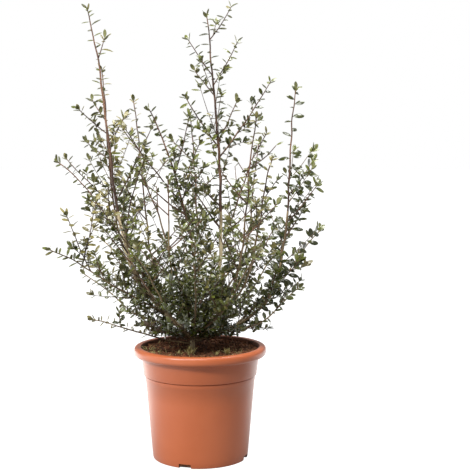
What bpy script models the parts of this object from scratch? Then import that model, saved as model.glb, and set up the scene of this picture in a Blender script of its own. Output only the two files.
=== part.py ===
"""Japanese holly shrub in a terracotta coloured plastic nursery pot.

Metres, +Z up. The pot stands on z = 0 with its axis on the Z axis, and -Y is the front.
The plant is a short trunk, one tapering bough for each leader, and one mass of foliage
at the end of each bough. Every mass grows from one stem by the same seeded rule.
Sizes below are in millimetres and angles in degrees.
"""
import math
import random

import bmesh
import bpy
from mathutils import Vector
from mathutils.kdtree import KDTree

MM = 0.001
GAP = 0.3

# Pot: a 5 litre nursery pot with a rolled rim, a wide band under it and a tapering body.
POT_SIDES = 36
POT_HEIGHT = 187.0
RIM_RADIUS = 110.0
RIM_DEPTH = 15.6
MOUTH_RADIUS = 96.5
MOUTH_DEPTH = 3.4
MOUTH_CLEAR_RADIUS = 77.5
BAND_TOP_RADIUS = 97.6
BAND_LOW_RADIUS = 94.2
STEP_HEIGHT = 138.0
STEP_RADIUS = 91.6
LINE_HEIGHT = 130.0
LINE_STEP = 0.5
BASE_RADIUS = 79.2
BASE_ROUND = 1.8
WALL = 2.2
FLOOR = 3.0
NOTCHES = 4
NOTCH_WIDTH = 19.0
NOTCH_HEIGHT = 7.0
NOTCH_DEPTH = 6.5
NOTCH_TURN = -16.8

# Soil: level round the trunk, and banked up to the mouth at the wall.
SOIL_CLEAR = 0.4
SOIL_TOP = 175.0
SOIL_EDGE = 180.0
SOIL_FLAT_RADIUS = 30.0
SOIL_BANK_RADIUS = 84.0

# Trunk, from its flat cut at soil level to its fork.
TRUNK_FOOT = (-13.0, 0.0)
TRUNK_TOP = (-10.0, 3.0, 244.0)
TRUNK_BOW = -1.5
TRUNK_RADIUS = 4.3
TRUNK_TOP_RADIUS = 3.3
TRUNK_SIDES = 15
TRUNK_RINGS = (0.0, 1.5, 4.0, 9.0, 18.0, 34.0, 52.0)
FLARE = 4.0
FLARE_HEIGHT = 3.2
FLARE_LOBES = 5

# Leaders: parent, share of the parent's bare bough where it leaves, the point where it
# bends up and its tip (both x, y, z), and its radius at the foot.
LEADERS = {
    "left_leader": ("trunk", 0.35, (-117, 10, 326), (-188, 30, 750), 2.7),
    "right_leader": ("trunk", 0.25, (124, 25, 280), (162, 45, 621), 2.6),
    "centre_leader": ("trunk", 0.50, (33, 20, 325), (11, 45, 744), 2.8),
    "mid_left": ("trunk", 1.00, (-18, -25, 390), (-83, -45, 584), 2.5),
    "right_inner": ("trunk", 0.45, (79, -45, 308), (119, -75, 505), 2.2),
    "slope_left": ("trunk", 0.70, (-30, -65, 295), (-92, -120, 486), 2.0),
    "back_centre": ("trunk", 0.85, (-6, 85, 331), (-22, 150, 582), 2.1),
    "left_rim": ("trunk", 0.20, (-77, -40, 209), (-176, -75, 244), 1.5),
    "front_low_left": ("trunk", 0.30, (-48, -75, 254), (-100, -150, 358), 1.6),
    "front_low": ("trunk", 0.55, (-4, -85, 266), (-2, -170, 382), 1.6),
    "front_low_right": ("trunk", 0.40, (42, -70, 259), (99, -140, 357), 1.6),
    "back_low": ("trunk", 0.60, (-12, 85, 261), (-52, 190, 396), 1.7),
    "back_low_right": ("trunk", 0.30, (75, 80, 253), (161, 150, 362), 1.7),
    "left_twin": ("left_leader", 0.74, (-142, 45, 385), (-169, 55, 657), 1.6),
    "left_reach": ("left_leader", 0.88, (-139, -55, 396), (-227, -80, 497), 1.5),
    "left_inner": ("left_leader", 0.66, (-113, -75, 392), (-75, -115, 506), 1.6),
    "left_low": ("left_leader", 0.60, (-140, -50, 294), (-240, -90, 358), 1.7),
    "back_left": ("left_leader", 0.50, (-89, 75, 340), (-121, 120, 606), 1.9),
    "left_sweep": ("left_leader", 0.36, (-116, 30, 239), (-210, 60, 304), 1.5),
    "back_low_left": ("left_leader", 0.24, (-89, 75, 254), (-193, 140, 362), 1.7),
    "centre_right": ("centre_leader", 0.85, (49, 65, 384), (117, 110, 546), 1.7),
    "cross_right": ("centre_leader", 0.65, (58, -30, 329), (114, -55, 421), 1.6),
    "back_right": ("centre_leader", 0.40, (75, 95, 330), (103, 165, 532), 1.9),
    "right_reach": ("right_leader", 0.76, (144, 55, 297), (212, 85, 376), 1.6),
    "right_low": ("right_leader", 0.55, (108, 5, 229), (172, 20, 284), 1.5),
    "front_right": ("right_inner", 0.70, (66, -90, 335), (91, -130, 569), 1.8),
    "front_left": ("slope_left", 0.55, (-43, -110, 336), (-42, -165, 479), 1.6),
}
BEND_LEAN = 0.75
TIP_LEAN = 0.6
BARE_SHARE = 0.22
BARE_LEAST = 45.0
BARE_MOST = 100.0
BOUGH_STEP = 26.0
BOUGH_THICK = 2.0

# Side limbs that show in the outline: share of the leader where each leaves, its heading,
# its pitch and its length.
SIDE_LIMBS = {
    "left_leader": ((0.45, 40, 60, 160), (0.61, 55, 50, 70), (0.85, 40, 70, 45)),
    "left_twin": ((0.45, -165, 45, 120), (0.63, 160, 35, 60), (0.73, -160, 40, 70),
                  (0.78, 135, 45, 60)),
    "left_reach": ((0.67, -115, 15, 40),),
    "left_low": ((0.65, -125, 60, 115), (0.72, -45, 70, 120)),
    "mid_left": ((0.47, -145, 35, 100), (0.52, -150, 50, 165), (0.54, -45, 45, 85),
                 (0.59, -5, 65, 90), (0.66, -55, 65, 110)),
    "centre_leader": ((0.40, 140, 40, 105), (0.55, -10, 55, 160), (0.58, -160, 55, 110),
                      (0.60, 50, 55, 95), (0.74, 140, 45, 70), (0.77, -10, 60, 90),
                      (0.80, -165, 55, 80), (0.91, 25, 55, 80)),
    "centre_right": ((0.67, 70, 45, 75),),
    "right_inner": ((0.72, -145, 45, 70),),
    "right_leader": ((0.50, 45, 45, 75), (0.55, -15, 50, 90), (0.64, 40, 45, 90)),
    "right_reach": ((0.59, 45, 5, 50),),
}

# Rule for the other side limbs of every stem.
LIMB_EVERY = 60.0
LIMB_TOP = 0.82
LIMB_SHARE = 0.55
LIMB_LEAST = 14.0
LIMB_MOST = 85.0
LIMB_TURN = 80.0
LIMB_PITCH = 48.0
LIMB_SAG = 0.06
LIMB_ROOM = 9.0
LIMB_FREE = 6.0
STEM_STEP = 50.0
LIMB_STEP = 60.0
LIMB_GIRTH = 0.75
STEM_TIP_RADIUS = 1.0

# Rule for the twigs and leaves. The leaves are fewer and larger than life.
SIDE_REFERENCE = Vector((0.25, 0.95, -0.20))
TURN = 137.5
TWIG_RADIUS = 1.2
TWIG_EVERY = 4
TWIG_LENGTH = 42.0
TWIG_ROOM = 40.0
TWIG_LIFT = 0.1
LEAF_LENGTH = 26.0
LEAF_WIDTH = 12.5
LEAF_WIDEST = 0.56
LEAF_RIDGE = 0.36
LEAF_RISE = 1.3
LEAF_SUNK = 0.4
LEAF_EVERY = 21.0
LEAF_SPREAD = 52.0
TIP_SPREAD = 8.0
TIP_SHARE = 0.55
LEAF_CLEAR = 6.0
LIMB_CLEAR = 3.0
WOOD_CLEAR = 5.0
SPACE_MARGIN = 2.4
SPACE_STEP = 4.0
OVER_RIM = 4.0
SEED = 7

# Base colours (linear) and roughness.
COLOURS = {
    "pot_plastic": ((0.475, 0.144, 0.068), 0.38),
    "soil": ((0.030, 0.014, 0.008), 0.95),
    "bark": ((0.200, 0.140, 0.085), 0.75),
    "foliage": ((0.072, 0.095, 0.040), 0.45),
}


def material(name):
    """Principled material with the part's base colour and roughness."""
    mat = bpy.data.materials.get(name) or bpy.data.materials.new(name)
    mat.use_nodes = True
    colour, roughness = COLOURS[name]
    shader = mat.node_tree.nodes["Principled BSDF"]
    shader.inputs["Base Color"].default_value = (*colour, 1.0)
    shader.inputs["Roughness"].default_value = roughness
    shader.inputs["Metallic"].default_value = 0.0
    mat.diffuse_color = (*colour, 1.0)
    return mat


def add_object(name, verts, faces, mat_name=None, collection=None):
    """Closed mesh object from vertices in millimetres and faces."""
    mesh = bpy.data.meshes.new(name)
    mesh.from_pydata([Vector(v) * MM for v in verts], [], faces)
    bm = bmesh.new()
    bm.from_mesh(mesh)
    bmesh.ops.recalc_face_normals(bm, faces=bm.faces)
    bm.to_mesh(mesh)
    bm.free()
    obj = bpy.data.objects.new(name, mesh)
    (collection or bpy.context.scene.collection).objects.link(obj)
    if mat_name:
        mesh.materials.append(material(mat_name))
    return obj


def smooth(obj, angle):
    """Shade a round piece smooth, with edges sharper than the angle kept."""
    obj.data.shade_smooth()
    obj.data.set_sharp_from_angle(angle=math.radians(angle))


def skin(rings, sides):
    """Faces that join rings of equal size in order, with a flat face at each end."""
    faces = [tuple(range(sides)), tuple(range((rings - 1) * sides, rings * sides))]
    for ring in range(rings - 1):
        for k in range(sides):
            a, b = ring * sides + k, ring * sides + (k + 1) % sides
            faces.append((a, b, b + sides, a + sides))
    return faces


def is_closed(mesh):
    """Whether every edge of a mesh has exactly two faces."""
    bm = bmesh.new()
    bm.from_mesh(mesh)
    closed = len(bm.faces) > 0 and all(len(edge.link_faces) == 2 for edge in bm.edges)
    bm.free()
    return closed


def apply_boolean(obj, collection, operation, solver="EXACT"):
    """Apply one Boolean with a collection, then remove the collection's objects."""
    mod = obj.modifiers.new("join", "BOOLEAN")
    mod.operation = operation
    mod.operand_type = "COLLECTION"
    mod.collection = collection
    mod.solver = solver
    graph = bpy.context.evaluated_depsgraph_get()
    graph.update()
    result = bpy.data.meshes.new_from_object(obj.evaluated_get(graph))
    obj.modifiers.remove(mod)
    if solver == "EXACT" and not is_closed(result):
        bpy.data.meshes.remove(result)
        apply_boolean(obj, collection, operation, "MANIFOLD")
        return
    before = obj.data
    obj.data = result
    bpy.data.meshes.remove(before)
    for extra in list(collection.objects):
        bpy.data.objects.remove(extra)
    bpy.data.collections.remove(collection)


def keep_largest(obj):
    """Keep the outer shell: fill sealed hollows and drop loose scraps."""
    bm = bmesh.new()
    bm.from_mesh(obj.data)
    left, shells = set(bm.faces), []
    while left:
        todo, shell = [left.pop()], []
        while todo:
            face = todo.pop()
            shell.append(face)
            for edge in face.edges:
                for other in edge.link_faces:
                    if other in left:
                        left.remove(other)
                        todo.append(other)
        shells.append(shell)
    shells.sort(key=len)
    extra = [face for shell in shells[:-1] for face in shell]
    bmesh.ops.delete(bm, geom=extra, context="FACES")
    bm.to_mesh(obj.data)
    bm.free()


def lathe(name, profile, mat_name):
    """Turned solid from (radius, height) points, flat at its first and last point."""
    verts = []
    for radius, height in profile:
        for k in range(POT_SIDES):
            angle = 2.0 * math.pi * k / POT_SIDES
            verts.append((radius * math.cos(angle), radius * math.sin(angle), height))
    body = add_object(name, verts, skin(len(profile), POT_SIDES), mat_name)
    smooth(body, 35)
    return body


def pot_wall(height, inset=0.0):
    """Outer radius of the pot's tapering body at a height, less an inset."""
    return BASE_RADIUS + (STEP_RADIUS - BASE_RADIUS) * height / STEP_HEIGHT - inset


def pot_profile():
    """Outline of the pot from the edge of its underside, up, over the rim and down."""
    rim_low = POT_HEIGHT - RIM_DEPTH
    line = pot_wall(LINE_HEIGHT)
    outside = [
        (BASE_RADIUS - BASE_ROUND, 0.0),
        (BASE_RADIUS, BASE_ROUND),
        (line, LINE_HEIGHT - LINE_STEP),
        (line + LINE_STEP, LINE_HEIGHT + LINE_STEP),
        (STEP_RADIUS + LINE_STEP, STEP_HEIGHT - 0.6),
        (BAND_LOW_RADIUS, STEP_HEIGHT + 0.9),
        (BAND_TOP_RADIUS, rim_low),
        (RIM_RADIUS - 1.6, rim_low),
        (RIM_RADIUS, rim_low + 1.8),
        (RIM_RADIUS, POT_HEIGHT - 4.4),
        (RIM_RADIUS - 1.6, POT_HEIGHT - 1.4),
        (RIM_RADIUS - 4.6, POT_HEIGHT),
        (MOUTH_RADIUS + 3.2, POT_HEIGHT),
        (MOUTH_RADIUS + 0.8, POT_HEIGHT - 1.2),
        (MOUTH_RADIUS, POT_HEIGHT - MOUTH_DEPTH),
    ]
    inside = [
        (BAND_TOP_RADIUS - WALL, rim_low - WALL),
        (BAND_LOW_RADIUS - WALL, STEP_HEIGHT + 0.4),
        (pot_wall(STEP_HEIGHT - 2.6, WALL), STEP_HEIGHT - 2.6),
        (pot_wall(FLOOR, WALL), FLOOR),
    ]
    return outside + inside


def build_pot():
    """Hollow pot with a rolled rim, a stepped band and drain notches at its foot."""
    pot = lathe("pot", pot_profile(), "pot_plastic")
    cutters = bpy.data.collections.new("notch_cutters")
    bpy.context.scene.collection.children.link(cutters)
    for k in range(NOTCHES):
        angle = math.radians(NOTCH_TURN - 90.0 + 360.0 / NOTCHES * k)
        out = Vector((math.cos(angle), math.sin(angle), 0.0))
        side = Vector((-out.y, out.x, 0.0)) * NOTCH_WIDTH / 2.0
        near, far = out * (BASE_RADIUS - NOTCH_DEPTH), out * (BASE_RADIUS + NOTCH_DEPTH)
        verts = []
        for height in (-NOTCH_HEIGHT, NOTCH_HEIGHT):
            up = Vector((0.0, 0.0, height))
            verts += [near - side + up, far - side + up, far + side + up, near + side + up]
        add_object(f"notch_{k}", verts, skin(2, 4), None, cutters)
    apply_boolean(pot, cutters, "DIFFERENCE")
    smooth(pot, 35)
    return pot


def build_soil():
    """Potting soil that fills the pot, clear of its wall and floor."""
    inset = WALL + SOIL_CLEAR
    floor = FLOOR + GAP
    low = STEP_HEIGHT - 3.0
    mouth_low = POT_HEIGHT - RIM_DEPTH - WALL
    flare = (MOUTH_RADIUS - BAND_TOP_RADIUS + WALL) / (POT_HEIGHT - MOUTH_DEPTH - mouth_low)
    edge = BAND_TOP_RADIUS - WALL + flare * (SOIL_EDGE - mouth_low)
    profile = [
        (pot_wall(floor, inset), floor),
        (pot_wall(low, inset), low),
        (BAND_LOW_RADIUS - inset, STEP_HEIGHT + 1.2),
        (BAND_TOP_RADIUS - inset, mouth_low),
        (edge - 0.6, SOIL_EDGE),
        (edge - 4.0, SOIL_EDGE + 0.4),
        (SOIL_BANK_RADIUS, SOIL_EDGE - 1.6),
        (SOIL_FLAT_RADIUS, SOIL_TOP),
    ]
    return lathe("soil", profile, "soil")


def path_length(path):
    """Length along a path."""
    return sum((q - p).length for p, q in zip(path, path[1:]))


def walk(path, distance):
    """Point and direction at a distance along a path."""
    for p, q in zip(path, path[1:]):
        length = (q - p).length
        if distance <= length:
            return p.lerp(q, max(0.0, distance) / length), (q - p) / length
        distance -= length
    return path[-1].copy(), (path[-1] - path[-2]).normalized()


def cut(path, start, stop, step):
    """Stretch of a path between two distances, with points about a step apart."""
    count = max(1, round((stop - start) / step))
    return [walk(path, start + (stop - start) * k / count)[0] for k in range(count + 1)]


def bow(start, middle, end, count):
    """Points along a simple curve that starts towards a middle point."""
    shares = [k / count for k in range(count + 1)]
    return [start * (1 - t)**2 + middle * 2 * t * (1 - t) + end * t**2 for t in shares]


def spline(a, b, c, step):
    """Smooth path through three points, steeper after the middle one."""
    d1, d2 = (b - a).length, (c - b).length
    u1, u2 = (b - a) / d1, (c - b) / d2
    middle = u1 * (1.0 - BEND_LEAN) + u2 * BEND_LEAN
    first = u1 * 1.5 - middle * 0.5
    last = u2 + Vector((u2.x, u2.y, 0.0)) * TIP_LEAN
    points = [a.copy()]
    for p, q, t0, t1, length in ((a, b, first, middle, d1), (b, c, middle, last, d2)):
        count = max(3, round(length / step))
        for k in range(1, count + 1):
            t = k / count
            h0, h1 = 2 * t**3 - 3 * t**2 + 1, t**3 - 2 * t**2 + t
            h2, h3 = 3 * t**2 - 2 * t**3, t**3 - t**2
            points.append(p * h0 + t0 * length * h1 + q * h2 + t1 * length * h3)
    return points


def outward(along, heading):
    """Direction square to a limb, at a heading round it that its faces share."""
    across = along.cross(SIDE_REFERENCE).normalized()
    other = along.cross(across)
    return across * math.cos(math.radians(heading)) + other * math.sin(math.radians(heading))


def face_heading(heading):
    """Heading of the nearest face of a three-sided limb, so a root sits on one face."""
    return 60.0 + 120.0 * round((heading - 60.0) / 120.0)


def tube_mesh(path, foot, tip, sides, first=None, last=None):
    """Vertices and faces of a tapering limb, its flat ends square to given directions."""
    verts = []
    end = len(path) - 1
    for k, point in enumerate(path):
        along = (path[min(end, k + 1)] - path[max(0, k - 1)]).normalized()
        if k == 0 and first:
            along = first
        if k == end and last:
            along = last
        radius = foot + (tip - foot) * k / end
        verts += [point + outward(along, 360.0 * s / sides) * radius for s in range(sides)]
    return verts, skin(len(path), sides)


def leaf_mesh(root, along, face_up):
    """Vertices and faces of one leaf, domed above and flat below, with a firm stalk end."""
    side = along.cross(face_up).normalized()
    up = side.cross(along)
    root = root - along * LEAF_SUNK
    widest = root + along * LEAF_LENGTH * LEAF_WIDEST
    verts = [
        root,
        widest + side * LEAF_WIDTH * 0.5,
        root + along * LEAF_LENGTH,
        widest - side * LEAF_WIDTH * 0.5,
        root + along * LEAF_LENGTH * LEAF_RIDGE + up * LEAF_RISE,
    ]
    return verts, [(0, 1, 4), (1, 2, 4), (2, 3, 4), (3, 0, 4), (0, 3, 1), (1, 3, 2)]


def trunk_path():
    """Axis of the trunk, from the soil to the fork."""
    foot = Vector((*TRUNK_FOOT, SOIL_TOP + GAP))
    top = Vector(TRUNK_TOP)
    return bow(foot, foot.lerp(top, 0.5) + Vector((TRUNK_BOW, 0.0, 0.0)), top, 12)


def trunk_radius(share):
    """Radius of the trunk without its root flare."""
    return TRUNK_RADIUS + (TRUNK_TOP_RADIUS - TRUNK_RADIUS) * share


def build_trunk():
    """Leaning, tapering trunk with a lobed root flare and a flat cut at soil level."""
    path = trunk_path()
    total = path_length(path)
    heights = TRUNK_RINGS + (total,)
    verts = []
    for height in heights:
        centre, _ = walk(path, height)
        flare = FLARE * math.exp(-height / FLARE_HEIGHT)
        for s in range(TRUNK_SIDES):
            angle = 2.0 * math.pi * s / TRUNK_SIDES
            lobe = 0.625 + 0.375 * math.cos(FLARE_LOBES * angle)
            radius = trunk_radius(height / total) + flare * lobe
            verts.append(centre + Vector((math.cos(angle), math.sin(angle), 0.0)) * radius)
    trunk = add_object("trunk", verts, skin(len(heights), TRUNK_SIDES), "bark")
    smooth(trunk, 50)
    return trunk


def clear_start(path, radius, parent, parent_radius, on_top):
    """Distance along a path at which a limb of this radius clears its parent by the gap."""
    tree = KDTree(len(parent))
    for k, point in enumerate(parent):
        tree.insert(point, k)
    tree.balance()
    distance, near = 0.0, 0.0
    while near < GAP and distance < 30.0:
        distance += 0.1
        centre, along = walk(path, distance)
        edges = [centre + outward(along, 30.0 * s) * radius for s in range(12)]
        if on_top:
            near = min(edge.z for edge in edges) - parent[-1].z
        else:
            found = [tree.find(edge)[1:] for edge in edges]
            near = min(reach - parent_radius(k / (len(parent) - 1)) for k, reach in found)
    return distance


def limb_path(stem, where, heading, pitch, length):
    """Path of a side limb that leaves its stem at a distance, and sags a little."""
    root, _ = walk(stem, where)
    yaw, lift = math.radians(heading), math.radians(pitch)
    aim = Vector((math.cos(yaw) * math.cos(lift), math.sin(yaw) * math.cos(lift), math.sin(lift)))
    tip = root + aim * (length - LEAF_LENGTH * TIP_SHARE)
    middle = root + aim * length * 0.5 - Vector((0.0, 0.0, LIMB_SAG * length))
    return bow(root, middle, tip, max(1, round(length / LIMB_STEP)))


def rule_limbs(name, bare, total, rng):
    """Side limbs that the rule gives a stem below its measured ones."""
    _, _, bend, tip, _ = LEADERS[name]
    heading = math.degrees(math.atan2(tip[1] - bend[1], tip[0] - bend[0]))
    measured = [where - 0.03 for where, _, _, _ in SIDE_LIMBS.get(name, ())]
    top = min(measured + [LIMB_TOP])
    count = int((top - bare) * total / LIMB_EVERY + 0.5)
    limbs = []
    for k in range(count):
        where = bare + (top - bare) * (k + 0.6) / count
        turn = heading + (LIMB_TURN if k % 2 else -LIMB_TURN) + rng.uniform(-25.0, 25.0)
        size = min(LIMB_MOST, LIMB_SHARE * total * (1.0 - where) + LIMB_LEAST)
        limbs.append((where, turn, LIMB_PITCH + rng.uniform(-8.0, 8.0), size))
    return limbs


def grow_stems():
    """Boughs as (path, radius rule), and stems as (path, girth, direction, bare, total)."""
    axis = trunk_path()
    boughs = {"trunk": (cut(axis, 0.0, path_length(axis), 0.5), trunk_radius)}
    stems = {}
    for name, (parent, share, bend, tip, girth) in LEADERS.items():
        parent_path, parent_radius = boughs[parent]
        origin, _ = walk(parent_path, share * path_length(parent_path))
        whole = spline(origin, Vector(bend), Vector(tip), 6.0)
        total = path_length(whole)
        bare = min(BARE_MOST, max(BARE_LEAST, BARE_SHARE * total))
        start = clear_start(whole, girth, parent_path, parent_radius, share >= 1.0)
        end = max(STEM_TIP_RADIUS + 0.2, girth * (1.0 - 0.5 * bare / total) - 0.3)

        def radius(t, foot=girth, tip=end):
            return foot + (tip - foot) * t

        boughs[name] = (cut(whole, start, bare, 0.5), radius)
        knee, along = walk(whole, bare)
        stem = cut(whole, bare, total - LEAF_LENGTH * TIP_SHARE, STEM_STEP)
        stem[0] = knee + along * GAP
        stems[name] = (stem, end, along, bare, total)
    return boughs, stems


def grow_limbs(boughs, stems):
    """Side limbs of every stem: the measured ones, and those of the rule that find room."""
    wood = [(name, point) for name, (path, _) in boughs.items() for point in path[::8]]
    limbs = {}
    for name, (stem, _, _, bare, total) in stems.items():
        limbs[name] = [limb_path(stem, total * where - bare, heading, pitch, length)
                       for where, heading, pitch, length in SIDE_LIMBS.get(name, ())]
        for path in [stem] + limbs[name]:
            wood += [(name, point) for point in cut(path, 0.0, path_length(path), SPACE_STEP)]
    rng = random.Random(SEED)
    for name, (stem, _, _, bare, total) in stems.items():
        others = [point for owner, point in wood if owner != name]
        for where, heading, pitch, length in rule_limbs(name, bare / total, total, rng):
            for turn in (0.0, 35.0, -35.0, 180.0):
                path = limb_path(stem, total * where - bare, heading + turn, pitch, length)
                points = cut(path, LIMB_FREE, path_length(path), SPACE_STEP)
                if all((p - q).length > LIMB_ROOM for p in points for q in others):
                    limbs[name].append(path)
                    wood += [(name, point) for point in points]
                    break
    return limbs


def map_space(boughs, stems, limbs):
    """Tree of points along all limbs, with each point's mass, or wood for a bare bough."""
    lines = [("wood", point) for path, _ in boughs.values() for point in path[::8]]
    for name in stems:
        for path in [stems[name][0]] + limbs[name]:
            lines += [(name, point) for point in cut(path, 0.0, path_length(path), SPACE_STEP)]
    tree = KDTree(len(lines))
    for k, (_, point) in enumerate(lines):
        tree.insert(point, k)
    tree.balance()
    return tree, [owner for owner, _ in lines]


class Mass:
    """Twigs and leaves of one mass, which keep to the space nearest its own limbs."""

    def __init__(self, name, paths, space):
        self.name = name
        self.paths = paths
        self.tree, self.owners = space
        self.rng = random.Random(f"{SEED} {name}")
        self.twigs = []
        self.leaves = []
        self.leaf_points = []

    def owns(self, point):
        """Whether a point is over the pot and nearer to this mass's limbs than to others."""
        inside = math.hypot(point.x, point.y) <= MOUTH_CLEAR_RADIUS
        low = SOIL_EDGE if inside else POT_HEIGHT
        if point.z < low + OVER_RIM:
            return False
        _, _, own = self.tree.find(point, filter=lambda k: self.owners[k] == self.name)
        _, k, other = self.tree.find(point, filter=lambda k: self.owners[k] != self.name)
        if self.owners[k] == "wood" and other < WOOD_CLEAR:
            return False
        return own > LIMB_CLEAR and own + SPACE_MARGIN < other

    def off_twigs(self, points):
        """Whether points keep clear of every twig that stands already."""
        for foot, tip in self.twigs:
            run = tip - foot
            for point in points:
                share = max(0.0, min(1.0, (point - foot).dot(run) / run.length_squared))
                if (point - foot - run * share).length < LIMB_CLEAR:
                    return False
        return True

    def add_leaf(self, root, along, heading, spread):
        """Add a leaf on the first of three faces where it has room."""
        lean = math.radians(spread)
        for turn in (0.0, 120.0, -120.0):
            out = outward(along, face_heading(heading) + turn)
            aim = along * math.cos(lean) + out * math.sin(lean)
            up = along - out * 0.3 + Vector((0.0, 0.0, 0.5))
            half = aim.cross(up).normalized() * LEAF_WIDTH * 0.5
            widest = root + aim * LEAF_LENGTH * LEAF_WIDEST
            ribs = [root + aim * LEAF_LENGTH * t for t in (0.4, 0.7, 1.0)]
            points = ribs + [widest + half, widest - half]
            if not all(self.owns(p) for p in points) or not self.off_twigs(points):
                continue
            if any((p - q).length < LEAF_CLEAR for q in self.leaf_points for p in ribs):
                continue
            self.leaf_points += ribs
            self.leaves.append(leaf_mesh(root, aim, up))
            return

    def add_twig(self, root, along, heading, left):
        """Add a twig with leaves at its tip and sides, and say whether it had room."""
        size = min(TWIG_LENGTH, 0.35 * left + 8.0) * self.rng.uniform(0.8, 1.15)
        for turn in (0.0, 120.0, -120.0):
            out = outward(along, face_heading(heading) + turn)
            tip = root + (along * 0.7 + out * 0.75).normalized() * size
            tip.z += TWIG_LIFT * size
            aim = (tip - root).normalized()
            points = [root.lerp(tip, t) for t in (0.3, 0.5, 0.7, 0.85, 1.0)]
            points.append(tip + aim * LEAF_LENGTH * 0.6)
            if not all(self.owns(p) for p in points) or not self.off_twigs(points):
                continue
            self.twigs.append((root, tip))
            self.add_leaf(tip - aim * 0.5, aim, 0.0, TIP_SPREAD)
            for k in range(int(size / LEAF_EVERY)):
                spot = root.lerp(tip, 1.0 - (6.0 + k * LEAF_EVERY) / size)
                self.add_leaf(spot, aim, heading + 60.0 + k * TURN, LEAF_SPREAD)
            return True
        return False

    def grow(self):
        """Leaves down each limb from its tip, with every fourth place given to a twig."""
        for path in self.paths:
            length = path_length(path)
            heading = self.rng.uniform(0.0, 360.0)
            tip, along = walk(path, length)
            self.add_leaf(tip - along * 0.5, along, heading, TIP_SPREAD)
            for k in range(max(1, int((length - 6.0) / LEAF_EVERY))):
                left = 7.0 + k * LEAF_EVERY
                root, along = walk(path, length - left)
                heading += TURN
                twig_here = k % TWIG_EVERY == TWIG_EVERY - 1 and left > TWIG_ROOM
                if not (twig_here and self.add_twig(root, along, heading, left)):
                    self.add_leaf(root, along, heading, LEAF_SPREAD)


def build_bough(name, path, radius, along):
    """One tapering bough."""
    points = cut(path, 0.0, path_length(path), BOUGH_STEP)
    sides = 6 if radius(0.0) > BOUGH_THICK else 5
    verts, faces = tube_mesh(points, radius(0.0), radius(1.0), sides, last=along)
    bough = add_object(f"bough_{name}", verts, faces, "bark")
    smooth(bough, 75)
    return bough


def build_mass(name, stem, girth, along, limbs, space):
    """One mass of foliage: stem, limbs, twigs and leaves joined in one solid."""
    growth = Mass(name, [stem] + limbs, space)
    growth.grow()
    verts, faces = tube_mesh(stem, girth, STEM_TIP_RADIUS, 3, first=along)
    mass = add_object(f"mass_{name}", verts, faces, "foliage")
    pieces = bpy.data.collections.new(f"pieces_{name}")
    bpy.context.scene.collection.children.link(pieces)
    foot = max(STEM_TIP_RADIUS, girth * LIMB_GIRTH)
    meshes = [tube_mesh(path, foot, STEM_TIP_RADIUS, 3) for path in limbs]
    meshes += [tube_mesh(twig, TWIG_RADIUS, STEM_TIP_RADIUS, 3) for twig in growth.twigs]
    for k, (verts, faces) in enumerate(meshes + growth.leaves):
        add_object(f"piece_{k}", verts, faces, None, pieces)
    apply_boolean(mass, pieces, "UNION")
    keep_largest(mass)
    print(mass.name, "twigs", len(growth.twigs), "leaves", len(growth.leaves))
    return mass


def clear_scene():
    """Remove what the file opened with."""
    for obj in list(bpy.data.objects):
        bpy.data.objects.remove(obj)


def main():
    """Build every solid of the potted plant."""
    clear_scene()
    build_pot()
    build_soil()
    build_trunk()
    boughs, stems = grow_stems()
    limbs = grow_limbs(boughs, stems)
    space = map_space(boughs, stems, limbs)
    for name, (stem, girth, along, _, _) in stems.items():
        build_bough(name, *boughs[name], along)
        build_mass(name, stem, girth, along, limbs[name], space)


main()
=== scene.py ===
# %% [markdown]
# # A japanese holly shrub in its plastic pot
#
# A young evergreen shrub, about 77 cm tall with its pot, has one short trunk, some two
# dozen thin upright shoots and thousands of small oval leaves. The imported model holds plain
# solids: pot, soil, trunk, boughs and masses of foliage. They fix every place and size, so
# they are loaded first. The script then puts a finer piece in place of each one.

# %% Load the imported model
import random
from math import atan2, copysign, cos, degrees, exp, hypot, pi, radians, sin, sqrt

import bmesh
import bpy
import numpy as np
from mathutils import Euler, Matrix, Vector, noise


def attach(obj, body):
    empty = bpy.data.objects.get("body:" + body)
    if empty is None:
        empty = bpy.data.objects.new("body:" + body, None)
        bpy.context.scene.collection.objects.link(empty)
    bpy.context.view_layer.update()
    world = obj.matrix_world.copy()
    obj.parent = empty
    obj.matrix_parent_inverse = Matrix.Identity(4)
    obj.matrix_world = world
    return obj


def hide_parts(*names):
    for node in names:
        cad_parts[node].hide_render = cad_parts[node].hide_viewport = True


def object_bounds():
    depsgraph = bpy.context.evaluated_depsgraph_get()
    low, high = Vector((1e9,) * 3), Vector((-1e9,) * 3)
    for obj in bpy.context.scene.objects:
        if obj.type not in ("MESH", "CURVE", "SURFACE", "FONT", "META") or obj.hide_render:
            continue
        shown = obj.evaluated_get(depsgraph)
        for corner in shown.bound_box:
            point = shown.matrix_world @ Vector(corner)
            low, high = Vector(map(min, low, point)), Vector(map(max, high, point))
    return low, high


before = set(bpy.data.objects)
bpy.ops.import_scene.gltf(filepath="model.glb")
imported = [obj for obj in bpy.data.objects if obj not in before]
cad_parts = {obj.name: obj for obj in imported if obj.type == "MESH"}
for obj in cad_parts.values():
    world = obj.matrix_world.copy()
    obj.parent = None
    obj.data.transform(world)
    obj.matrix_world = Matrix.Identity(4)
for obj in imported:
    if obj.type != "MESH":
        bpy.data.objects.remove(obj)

cad_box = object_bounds()
masses = sorted(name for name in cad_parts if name.startswith("mass_"))
boughs = sorted(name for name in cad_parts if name.startswith("bough_"))
print(len(masses), "masses of foliage on", len(boughs), "boughs")

# %% [markdown]
# ## A pile for many small things
#
# One object for every leaf and twig would be slow, and instances would be lost on export.
# So each kind of thing is gathered as plain arrays of corners and faces, and each pile
# becomes one joined mesh. Sizes are in millimetres until that moment.

# %% Gather corners and faces, then make one mesh
MM = 0.001
SHARP = 40.0


def add_object(name, data):
    """Put an object into the scene."""
    thing = bpy.data.objects.new(name, data)
    bpy.context.scene.collection.objects.link(thing)
    return thing


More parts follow.
